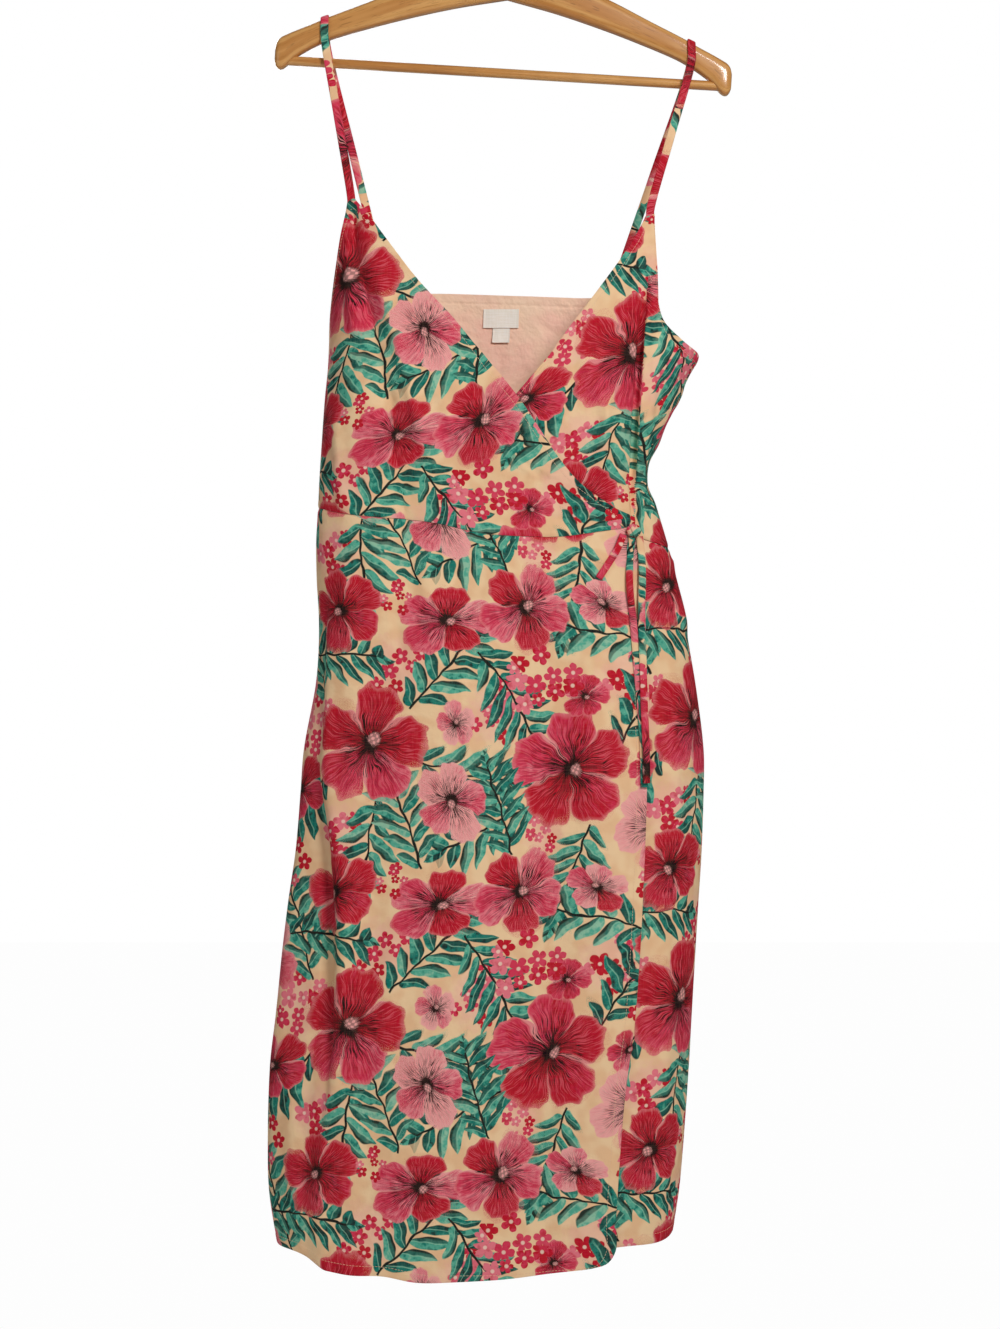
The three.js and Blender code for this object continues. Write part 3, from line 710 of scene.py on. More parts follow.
EDGE = 0.012  # softness of a printed edge, in a motif's own size
MOTIF_IN = (("Place", "Vector"), ("Wobble", "Vector"))
MOTIF_OUT = (("Color", "Color"), ("Mask", "Float"))
PETALS = 5
WASH = 0.4  # strength of the pale wash round a cluster of blossoms


# A broad five-petalled flower painted wet: streaked petals, a dark spiked eye and a pale stamen
def flower_group():
    tree, given, end = new_group("painted flower", MOTIF_IN, MOTIF_OUT)
    x, y, seed = split(given["Place"])
    wobble_x, wobble_y, wet = split(given["Wobble"])
    x, y = x + wobble_x * 0.16, y + wobble_y * 0.16
    r = distance(x, y)
    theta = calculate("ARCTAN2", y, x)
    petal = calculate("ROUND", theta * (PETALS / math.tau))
    length_chance, lean, tone_chance = chances(petal + seed * 31.7)
    a = theta - petal * (math.tau / PETALS) + (lean - 0.5) * 0.2
    s = absolute(a) * (PETALS / math.pi)
    lobe = 1 - 0.27 * power(s, 3.4)
    strokes = noise(vector_of(tree, a * 9 + petal * 3, r * 1.6 + seed * 9), 2.2, 2, 0.6)
    fine = noise(vector_of(tree, theta * 15, r * 1.3 + seed * 5), 2.6, 1, 0.6)
    ripple = sine(a * 19 + length_chance * 6) * 0.02
    reach = (0.86 + 0.14 * length_chance) * lobe + ripple + (strokes - 0.5) * 0.03
    mask = ramp(reach - r, 0, EDGE * 1.6)
    t = r / larger(reach, 0.2)
    tone = fraction(seed) * 1.3 - 0.15 + (tone_chance - 0.5) * 1.15
    half = ramp(a, -0.12, 0.2) * 0.2 - 0.1
    tone = tone + half + (strokes - 0.5) * 0.8 + wet * 0.5
    colour = coats(
        CRIMSON,
        (ramp(tone, 0.0, 0.48), ROSE),
        (ramp(tone, 0.46, 0.76), PINK),
        (ramp(tone, 0.74, 1.05), BLUSH),
        (ramp(fine, 0.48, 0.62) * ramp(t, 1.0, 0.35) * 0.9, CRIMSON_DEEP),
        (ramp(fine, 0.46, 0.34) * ramp(t, 0.2, 0.6) * 0.36, PINK),
        (ramp(t, 0.90, 0.985) * 0.3 + ramp(s, 0.86, 0.99) * ramp(r, 0.12, 0.3) * 0.6, BLUSH),
    )
    vein = ramp(absolute(a * r + (strokes - 0.5) * 0.06), 0.018, 0.005)
    vein = vein * ramp(r, 0.40 + 0.38 * tone_chance, 0.2) * ramp(length_chance, 0.25, 0.4)
    spikes = ramp(fine, 0.42, 0.64) * 0.36 + strokes * 0.26
    eye = ramp(r - spikes, 0.05, 0.0)
    stamen = distance(x - 0.07, y + 0.05) + (fine - 0.5) * 0.12
    dots = ramp(sine(x * 70) * sine(y * 70), -0.2, 0.5)
    pollen = ramp(stamen, 0.10, 0.075) * (0.45 + 0.5 * dots)
    colour = coats(colour, (larger(vein, eye), WINE), (pollen, BLUSH))
    give(end, Color=colour, Mask=mask)
    return tree


# A feathered leaf spray. Its stem runs from 0 to 1 along x, with slanting leaflets on both sides.
def frond_group():
    tree, given, end = new_group("painted leaf spray", MOTIF_IN, MOTIF_OUT)
    x, y, seed = split(given["Place"])
    wobble_x, wobble_y, wet = split(given["Wobble"])
    chance = fraction(seed)
    bend = (chance - 0.5) * 0.4
    x, y = x + wobble_x * 0.07, y + wobble_y * 0.07 - bend * x * x
    side = calculate("SIGN", y)
    q = absolute(y)
    count = 5.5 + 2.5 * fraction(seed * 7.3)
    s = x - q * 0.80 + q * q * 0.6
    step = s * count + side * 0.25
    number = calculate("FLOOR", step)
    f = fraction(step) - 0.5
    long_chance, tone_chance, _ = chances(number + side * 7.3 + seed * 13)
    taper = power(larger(sine((s * 0.84 + 0.14) * math.pi), 0.001), 0.6)
    length = taper * (0.25 + 0.11 * long_chance)
    w = q / larger(length, 0.01)
    belly = sine(power(calculate("MINIMUM", w, 1.0), 0.72) * math.pi)
    belly = power(larger(belly, 0.0001), 0.8) * (0.43 + 0.08 * tone_chance)
    leaflet = ramp(belly - absolute(f), 0.0, 0.06)
    foot = (number + 0.5 - side * 0.25) / count
    leaflet = leaflet * ramp(w, 1.0, 0.97) * ramp(foot, 0.0, 0.02) * ramp(foot, 0.93, 0.90)
    tip_x = calculate("MULTIPLY", x - 0.82, 1 / 0.28, clamp=True)
    tip = ramp(sine(tip_x * math.pi) * 0.06 - q, 0.0, EDGE)
    stem = ramp(q, 0.013, 0.008) * ramp(x, -0.01, 0.0) * ramp(x, 0.92, 0.9)
    mask = larger(larger(leaflet, tip), stem)
    tone = tone_chance * 0.75 + wet * 1.5 + chance * 0.35 + w * 0.15
    rib = ramp(absolute(f - 0.02), 0.05, 0.015) * ramp(w, 0.98, 0.6)
    under = ramp(f, 0.22, 0.34) * ramp(wet + tone_chance * 0.5, 0.15, 0.35)
    colour = coats(
        TEAL_DEEP,
        (ramp(tone, 0.05, 0.4), TEAL),
        (ramp(tone, 0.48, 0.8), AQUA),
        (ramp(tone, 0.85, 1.2), AQUA_PALE),
        (ramp(f, 0.02, 0.12) * 0.65, TEAL_DEEP),
        (rib * 0.65, AQUA_PALE),
        (under * 0.9, STEM),
        (stem, STEM),
    )
    give(end, Color=colour, Mask=mask)
    return tree


# A cluster of small blossoms over a soft wash
def sprig_group():
    tree, given, end = new_group("painted blossoms", MOTIF_IN, MOTIF_OUT)
    px, py, seed = split(given["Place"])
    wet = split(given["Wobble"])[2]
    shift_x, shift_y = seed * 13, seed * 7
    values = {"Vector": vector_of(tree, px + shift_x, py + shift_y), "Scale": 2.1, "Randomness": 0.75}
    cells = add_node(tree, "ShaderNodeTexVoronoi", values, voronoi_dimensions="2D", feature="F1")
    cx, cy, _ = split(Wire(tree, cells.outputs["Position"]))
    tone, turn, size = split(Wire(tree, cells.outputs["Color"]))
    home_x, home_y = cx - shift_x, cy - shift_y
    x, y = px - home_x, py - home_y
    r = distance(x, y)
    theta = calculate("ARCTAN2", y, x) + turn * 3
    lobes = absolute(calculate("COSINE", theta * (PETALS / 2)))
    reach = (0.19 + 0.12 * size) * (0.42 + 0.58 * power(lobes, 0.5))
    mask = ramp(reach - r + wet * 0.06, 0.0, 0.025) * ramp(distance(home_x, home_y), 0.80, 0.78)
    colour = coats(
        CRIMSON,
        (ramp(tone + wet, 0.3, 0.5), ROSE),
        (ramp(tone, 0.62, 0.8), PINK),
        (ramp(wet, 0.0, 0.3) * 0.6, CRIMSON),
        (ramp(r, 0.06, 0.035) * 0.8, CREAM),
    )
    wash = ramp(distance(px, py) - wet * 0.6, 1.0, 0.4) * WASH
    colour = blend(mask, BLUSH, colour)
    mask = larger(mask, wash)
    give(end, Color=colour, Mask=mask)
    return tree


# The print's layout: a half-drop repeat. Each row has a motif's kind, its place and its size in millimetres,
# its angle in degrees, its seed, and its squash, with which a flower seen from the side is drawn narrower.
# A flower's and a cluster's size is its radius, a leaf spray's is its length from the stem's foot.
REPEAT_WIDTH, REPEAT_HEIGHT, DROP = 390, 268, 134
MOTIFS = (
    ("flower", 66, 200, 60, 20, 0.05, 1.0),
    ("flower", 262, 88, 60, 80, 0.17, 1.0),
    ("flower", 338, 206, 49, 10, 0.30, 1.35),
    ("flower", 176, 44, 44, 200, 0.10, 1.3),
    ("flower", 24, 84, 46, 60, 0.24, 1.0),
    ("flower", 148, 146, 45, 130, 0.82, 1.0),
    ("flower", 342, 36, 44, 300, 0.74, 1.25),
    ("flower", 238, 216, 44, 250, 0.12, 1.0),
    ("flower", 98, 88, 34, 160, 0.55, 1.4),
    ("frond", 110, 222, 116, 62, 0.20, 1.0),
    ("frond", 30, 166, 104, 205, 0.62, 1.0),
    ("frond", 86, 148, 108, 255, 0.41, 1.0),
    ("frond", 210, 130, 110, 108, 0.74, 1.0),
    ("frond", 300, 122, 108, 50, 0.33, 1.0),
    ("frond", 306, 74, 108, -20, 0.85, 1.0),
    ("frond", 220, 60, 104, 228, 0.15, 1.0),
    ("frond", 270, 40, 100, 262, 0.57, 1.0),
    ("frond", 366, 176, 108, -52, 0.26, 1.0),
    ("frond", 318, 240, 108, 106, 0.91, 1.0),
    ("frond", 146, 50, 104, 166, 0.69, 1.0),
    ("frond", 176, 172, 100, 8, 0.08, 1.0),
    ("frond", 12, 118, 96, 108, 0.53, 1.0),
    ("sprig", 200, 104, 38, 0, 0.13, 1.0),
    ("sprig", 290, 160, 38, 40, 0.47, 1.0),
    ("sprig", 118, 18, 38, 80, 0.71, 1.0),
    ("sprig", 36, 16, 40, 20, 0.29, 1.0),
    ("sprig", 168, 240, 36, 120, 0.83, 1.0),
    ("sprig", 384, 118, 38, 200, 0.55, 1.0),
    ("sprig", 236, 4, 36, 260, 0.38, 1.0),
    ("flower", 140, 202, 25, 40, 0.46, 1.2),
    ("flower", 343, 108, 24, 100, 0.93, 1.2),
    ("flower", 77, 0, 24, 10, 0.28, 1.1),
    ("sprig", 155, 90, 30, 150, 0.64, 1.0),
    ("sprig", 42, 136, 24, 60, 0.22, 1.0),
    ("sprig", 292, 228, 24, 300, 0.77, 1.0),
)
FROND_REACH = 0.40  # half a leaf spray's width, in its own length
FACE_REACH = 5.0  # faces are taken this far beyond a motif's own outline


# The motif's nearest copy to each place: whether the place is in its reach, and the copy's origin
def nearest_copy(motif, u, v):
    kind, x, y, size, angle = motif[:5]
    found = np.zeros(len(u), bool)
    origin = np.zeros((len(u), 2))
    column = np.round((u - x) / REPEAT_WIDTH)
    for shift in (-1, 0, 1):
        ox = (column + shift) * REPEAT_WIDTH + x
        close = np.nonzero(np.abs(u - ox) < 1.25 * size + FACE_REACH)[0]
        ox = ox[close]
        oy = (column[close] + shift) * DROP + y
        oy = oy + REPEAT_HEIGHT * np.round((v[close] - oy) / REPEAT_HEIGHT)
        px, py = in_line(u[close] - ox, v[close] - oy, angle)
        if kind == "frond":
            along_stem = (px > -0.06 * size - FACE_REACH) & (px < 1.14 * size + FACE_REACH)
            near = along_stem & (np.abs(py) < FROND_REACH * size + FACE_REACH)
        else:
            near = np.hypot(px, py) < 1.1 * size + FACE_REACH
        origin[close[near]] = np.stack([ox, oy], axis=1)[near]
        found[close[near]] = True
    return found, origin


# Motifs share a layer when their reaches stay apart
def sort_layers():
    grid = np.meshgrid(np.arange(0, REPEAT_WIDTH, 4.0), np.arange(0, REPEAT_HEIGHT, 4.0))
    u, v = (axis.ravel() for axis in grid)
    layers = []
    for motif in MOTIFS:
        reach = nearest_copy(motif, u, v)[0]
        for layer in layers:
            if layer["kind"] == motif[0] and not (layer["reach"] & reach).any():
                layer["motifs"].append(motif)
                layer["reach"] |= reach
                break
        else:
            layers.append({"kind": motif[0], "motifs": [motif], "reach": reach})
    kinds = ("sprig", "frond", "flower")
    sprigs, fronds, flowers = ([layer for layer in layers if layer["kind"] == kind] for kind in kinds)
    return [*sprigs[:1], *fronds[:-1], *flowers[:1], *fronds[-1:], *flowers[1:], *sprigs[1:]]


LAYERS = sort_layers()
FAR = 9.0  # stands for no motif here


# Stores on each face which motif of each layer it belongs to, as places in that motif's own size
def paint(piece, u, v, face_shift=None):
    mesh = piece.data
    corners = corner_points(mesh)
    starts = np.empty(len(mesh.polygons), dtype=np.int32)
    counts = np.empty(len(mesh.polygons), dtype=np.int32)
    mesh.polygons.foreach_get("loop_start", starts)
    mesh.polygons.foreach_get("loop_total", counts)
    face_of = np.repeat(np.arange(len(starts)), counts)
    places = np.stack([u[corners], v[corners]], axis=1)
    if face_shift is not None:
        places = places + face_shift[face_of]
    face_u, face_v = (np.add.reduceat(axis, starts) / counts for axis in places.T)
    store_grain(mesh, places)
    for number, stack in enumerate(LAYERS):
        local = np.tile([FAR, FAR, 0.0], (len(corners), 1))
        for motif in stack["motifs"]:
            size, angle, seed, squash = motif[3:]
            found, origin = nearest_copy(motif, face_u, face_v)
            here = found[face_of]
            px, py = in_line(*(places[here] - origin[face_of][here]).T, angle)
            local[here] = np.stack([px, py * squash, np.full(len(px), seed * size)], axis=1) / size
        attribute = mesh.attributes.new(f"print_{number}", "FLOAT_VECTOR", "CORNER")
        attribute.data.foreach_set("vector", local.ravel())


# The whole print: every layer over the peach ground
def floral_print_group():
    motifs = {"flower": flower_group(), "frond": frond_group(), "sprig": sprig_group()}
    tree, _, end = new_group("floral print", (), (("Color", "Color"), ("Grain", "Vector")))
    grain = grain_of(tree)
    wet = noise(grain, 130, 2, 0.6)
    bend_x, bend_y, _ = split(noise(grain, 48, 1, output="Color"))
    wobble = vector_of(tree, bend_x - 0.5, bend_y - 0.5, wet - 0.5)
    colour = blend(ramp(bend_x, 0.35, 0.65), PEACH, PEACH_DEEP)
    for number, stack in enumerate(LAYERS):
        attribute = add_node(tree, "ShaderNodeAttribute", attribute_name=f"print_{number}")
        place = Wire(tree, attribute.outputs["Vector"])
        drawn = use_group(tree, motifs[stack["kind"]], Place=place, Wobble=wobble)
        share = drawn["Mask"]
        if number and stack["kind"] == "sprig":
            share = ramp(share, WASH + 0.05, 0.95)  # on top of leaves a cluster has no wash
        colour = blend(share, colour, drawn["Color"])
    give(end, Color=colour, Grain=grain)
    return tree


# Materials
def new_material(name, colour, roughness, **more):
    made = bpy.data.materials.new(name)
    made.use_nodes = True
    shader = made.node_tree.nodes["Principled BSDF"]
    values = {"Base Color": colour, "Roughness": roughness, "Specular IOR Level": 0.25}
    for key, value in (values | with_blanks(more)).items():
        shader.inputs[key].default_value = value
    return made, made.node_tree, shader


def bump_onto(shader, height, strength, depth):
    values = {"Strength": strength, "Distance": depth, "Height": height}
    bump = add_node(height.tree, "ShaderNodeBump", values)
    give(shader, Normal=Wire(height.tree, bump.outputs["Normal"]))


# Fine surface of woven cloth: crossing threads, uneven yarn and soft crumple, as a height in metres
def weave_group():
    names = (("Place", "Vector"), ("Threads", "Float"), ("Crumple", "Float"))
    tree, given, end = new_group("woven surface", names, (("Height", "Float"), ("Slub", "Float")))
    u, v, _ = split(given["Place"])
    warp, weft = (sine(axis * given["Threads"] * math.tau) for axis in (u, v))
    slub = noise(vector_of(tree, u * 900, v * 60), 1.0) + noise(vector_of(tree, u * 60, v * 900), 1.0) - 1
    crumple = noise(given["Place"], 95, 3, 0.55) - 0.5
    height = warp * weft * 0.00003 + slub * 0.00005 + crumple * given["Crumple"]
    give(end, Height=height, Slub=slub)
    return tree


WEAVE = weave_group()
# Threads to a metre and the height of the crumple in metres
PRINT_WEAVE, LINING_WEAVE, TAPE_WEAVE = (1600.0, 0.0009), (1300.0, 0.0016), (2600.0, 0.0002)


def weave_onto(tree, shader, place, threads, crumple, strength=1.0):
    woven = use_group(tree, WEAVE, Place=place, Threads=threads, Crumple=crumple)
    bump_onto(shader, woven["Height"], strength, 1.0)
    return woven["Slub"]


def grain_of(tree):
    return Wire(tree, add_node(tree, "ShaderNodeUVMap", uv_map="grain").outputs["UV"])


def own_place(tree):
    return split(Wire(tree, add_node(tree, "ShaderNodeTexCoord").outputs["Object"]))


def printed_cloth():
    made, tree, shader = new_material("printed cloth", PEACH, 0.82, Specular_IOR_Level=0.1)
    drawn = use_group(tree, floral_print_group())
    slub = weave_onto(tree, shader, drawn["Grain"], *PRINT_WEAVE)
    give(shader, Base_Color=blend(ramp(slub, -0.5, 0.5) * 0.04, drawn["Color"], PEACH))
    return made


# The print's pale back, seen inside the skirt
def wrong_side():
    made, tree, shader = new_material("printed cloth, wrong side", BLUSH, 0.8, Sheen_Weight=0.06)
    grain = grain_of(tree)
    weave_onto(tree, shader, grain, *PRINT_WEAVE)
    blots = noise(grain, 24, 2, 0.6)
    colour = blend(ramp(blots, 0.42, 0.56), dye(240, 210, 178), dye(226, 158, 150))
    leaves = noise(vector_sum(grain, (3.0, 1.0, 0)), 30, 2, 0.6)
    give(shader, Base_Color=blend(ramp(leaves, 0.54, 0.64), colour, dye(160, 190, 172)))
    return made


def lining_cloth():
    made, tree, shader = new_material("lining cloth", BLUSH, 0.78, Sheen_Weight=0.08)
    grain = grain_of(tree)
    slub = weave_onto(tree, shader, grain, *LINING_WEAVE)
    colour = blend(ramp(noise(grain, 20), 0.3, 0.7), dye(255, 222, 192), dye(255, 206, 186))
    give(shader, Base_Color=blend(ramp(slub, -0.4, 0.4) * 0.3, colour, dye(255, 224, 200)))
    return made


# A close satin weave with faint ribs and uneven yarn
def label_tape():
    made, tree, shader = new_material("label tape", dye(236, 230, 220), 0.5, Sheen_Weight=0.05)
    slub = weave_onto(tree, shader, grain_of(tree), *TAPE_WEAVE, strength=0.35)
    give(shader, Base_Color=blend(ramp(slub, -0.5, 0.5), dye(246, 240, 226), dye(255, 252, 244)))
    return made


# Pale hardwood under a clear coat, with the grain running along each piece
def varnished_wood():
    colour = dye(200, 145, 80)
    made, tree, shader = new_material("varnished wood", colour, 0.36, Coat_Weight=0.7, Coat_Roughness=0.12)
    u, v, _ = split(grain_of(tree))
    rings = noise(vector_of(tree, u * 5, v * 130), 1.0, 3, 0.55)
    pores = noise(vector_of(tree, u * 60, v * 1500), 1.0, 2, 0.6)
    broad = noise(vector_of(tree, u * 9, v * 25), 1.0, 1)
    colour = coats(
        dye(190, 126, 62),
        (ramp(rings, 0.36, 0.64), dye(220, 164, 96)),
        (ramp(broad, 0.35, 0.7) * 0.5, dye(206, 144, 76)),
        (ramp(pores, 0.60, 0.72) * 0.5, dye(138, 84, 38)),
    )
    give(shader, Base_Color=colour, Roughness=0.30 + 0.14 * rings)
    bump_onto(shader, rings + pores * 0.5, 0.25, 0.0004)
    return made


# Plated steel wire, darker and duller where it is worn
def hook_steel():
    made, tree, shader = new_material("hook steel", (0.66, 0.66, 0.68, 1), 0.2, Metallic=1)
    x, y, z = own_place(tree)
    worn = noise(vector_of(tree, (x + y) * 300, z * 300), 1.0, 3, 0.6)
    colour = blend(ramp(worn, 0.45, 0.75), (0.70, 0.70, 0.72, 1), (0.52, 0.51, 0.50, 1))
    give(shader, Base_Color=colour, Roughness=0.16 + 0.2 * ramp(worn, 0.4, 0.7))
    return made


def stitching_thread():
    made, tree, shader = new_material("stitching thread", dye(240, 196, 160), 0.6, Sheen_Weight=0.1)
    x, y, z = own_place(tree)
    ply = sine((x + y + z) * 9000)
    give(shader, Base_Color=blend(ramp(ply, -1, 1), dye(226, 176, 140), dye(248, 210, 176)))
    return made


PRINT = printed_cloth()
WRONG_SIDE = wrong_side()
LINING = lining_cloth()
LABEL = label_tape()
WOOD = varnished_wood()
STEEL = hook_steel()
THREAD = stitching_thread()

# The camera stands where the photograph's did, level, and looks along +Y
camera = bpy.data.cameras.new("camera")
camera.sensor_width = 36
camera.lens = 63.97
view = add_to_scene("camera", camera)
view.location = (-0.0146, -2.300, -0.7738)
view.rotation_euler = (math.pi / 2, 0, 0)
bpy.context.scene.camera = view


# Four-sided faces between rings of points, from each ring to the next
def ring_faces(count, sides):
    faces = []
    for i in range(count - 1):
        for k in range(sides):
            a, b = i * sides + k, i * sides + (k + 1) % sides
            faces.append((a, b, b + sides, a + sides))
    return faces


def tube_faces(count, sides):
    first = tuple(range(sides))
    last = tuple((count - 1) * sides + k for k in first)
    return ring_faces(count, sides) + [first[::-1], last]


def sweep(centres, corners, across):
    ahead = np.vstack([centres[1:], centres[-1:]]) - np.vstack([centres[:1], centres[:-1]])
    tangent = unit(ahead)
    across = np.asarray(across, float)
    wide = unit(across - tangent * (tangent @ across)[:, None])
    deep = np.cross(tangent, wide)
    rings = centres[:, None] + wide[:, None] * corners[None, :, :1] + deep[:, None] * corners[None, :, 1:]
    return rings.reshape(-1, 3), tube_faces(*rings.shape[:2])


# Turns a circle's sine or cosine into that of a box with round corners
def blunt(value, exponent):
    return np.sign(value) * np.abs(value) ** exponent


# A flat tube's section with rounded sides
def flat_section(width, depth, sides=12):
    angle = (np.arange(sides) + 0.5) * 2 * math.pi / sides
    wide, deep = width / 2 * blunt(np.cos(angle), TUBE_BLUNT), depth / 2 * blunt(np.sin(angle), TUBE_BLUNT)
    return np.stack([wide, deep], axis=1)


# A sewn tube along a path, cut from its own strip of the print
def tube(name, path, section, across, print_shift, lengthways):
    points, faces = sweep(path, section, across)
    piece = new_object(name + "_cloth", points, faces, [PRINT])
    around = np.tile(np.linspace(0, TUBE_GIRTH, len(section)), len(path)) + print_shift
    paint(piece, around, np.repeat(lengthways, len(section)))
    stands_for(name)
    return piece


# A place straight in front of the cloth at x and z, clear of it by a distance
def before(x, z, clear):
    turn, _ = front(x, z)
    face = hang(turn, z)
    normal = facing(turn, z)
    return np.array([x, face[1] + clear / normal[1], z])


# The ties' routes, from the knot down. The back one crosses over the front one.
TIE_FRONT = (
    (111.5, -653), (109.5, -668), (109, -702), (112, -732),
    (115, -770), (118.5, -812), (121, -850), (122, -890),
)
TIE_BACK = (
    (118.5, -651.5), (120.5, -668), (121, -690), (120, -722),
    (121, -770), (122, -812), (123.5, -850), (124, -886),
)


def tie_end(name, route, crossing):
    outside = [crossing * TIE_STEP * smooth(655, 700, -z) for x, z in route]
    path = curve_through([before(x, z, TIE_REST + more) for (x, z), more in zip(route, outside)], 96)
    piece = tube(name, path, flat_section(TIE_WIDTH, TIE_DEPTH), (1, 0, 0), 60 * crossing, path[:, 2])


tie_end("tie_end_front", TIE_FRONT, False)
tie_end("tie_end_back", TIE_BACK, True)


def on_front(*places):
    return [front(x, z) for x, z in places]


def on_back(*places):
    return [back(x, z) for x, z in places]


# Edges of the panels
UNDERARM_Z = -476
WAIST_LEFT, WAIST_RIGHT = -622, -662
HEM_LEFT, HEM_RIGHT = -1336, -1318
LEFT_SEAM, RIGHT_SEAM = -SIDE_SEAM, math.pi + SIDE_SEAM
BACK_LEFT_SEAM = 2 * math.pi - SIDE_SEAM

OVER_WAIST_SIDE = [(LEFT_SEAM, WAIST_LEFT), *on_front((-187, -623), (-178, -626))]
OVER_WAIST = on_front(
    (-178, -626), (-159, -630), (-112, -635), (-82, -638), (-29, -649),
    (14, -652), (43, -652), (81, -647), (112, -642),
)
OVER_NECK = on_front(
    (-153, -325), (-140, -341), (-131, -355), (-112, -382), (-92, -409), (-62, -442),
    (-34, -476), (0, -517), (43, -580), (90, -622), (112, -633),
)
OVER_ARMHOLE = [
    (LEFT_SEAM, UNDERARM_Z),
    *on_front((-178.5, -440), (-172.5, -395), (-165.5, -352), (-160, -326)),
]
UNDER_NECK = on_front(
    (-122, -627), (-92, -610), (-52, -575), (0, -517), (42, -465), (81, -413), (112, -368), (126, -341),
)
UNDER_ARMHOLE = [
    *on_front((134, -341), (134, -395), (137, -428), (142, -445), (158, -461), (170, -469)),
    (RIGHT_SEAM, UNDERARM_Z),
]
UNDER_WAIST = [
    *on_front(
        (-122, -637), (-82, -640), (-29, -650), (14, -652), (43, -652), (81, -648),
        (98, -645), (112, -649), (126, -654), (142, -659),
    ),
    (RIGHT_SEAM, WAIST_RIGHT),
]
BACK_TOP = [
    (RIGHT_SEAM, UNDERARM_Z),
    *on_back(
        (158, -458), (128, -430), (100, -413), (60, -411), (0, -409),
        (-84, -407), (-130, -410), (-154, -428), (-174, -456),
    ),
    (BACK_LEFT_SEAM, UNDERARM_Z),
]
BACK_WAIST = [
    (RIGHT_SEAM, WAIST_RIGHT), *on_back((100, -660), (0, -652), (-110, -638)), (BACK_LEFT_SEAM, WAIST_LEFT),
]
OVER_HEM_SIDE = [(LEFT_SEAM, HEM_LEFT), *on_front((-227, -1335), (-203, -1339), (-181, -1350))]
OVER_HEM = on_front(
    (-181, -1350), (-152, -1353), (-124, -1353), (-94, -1358),
    (-62, -1358), (-16, -1356), (30, -1351), (72, -1345),
)
WRAP_EDGE = on_front(
    (72, -1345), (87, -1340), (94, -1328), (94, -1300), (97, -1250), (103, -1180), (112, -1115),
    (118, -1040), (122, -960), (124, -903), (122, -820), (121, -740), (118, -674),
)
UNDER_HEM = [
    *on_front((-134, -1328), (-40, -1334), (50, -1331), (98, -1327), (138, -1326), (154, -1322)),
    (RIGHT_SEAM, HEM_RIGHT),
]
BACK_HEM = [
    (RIGHT_SEAM, HEM_RIGHT), *on_back((110, -1330), (0, -1342), (-120, -1343)), (BACK_LEFT_SEAM, HEM_LEFT),
]

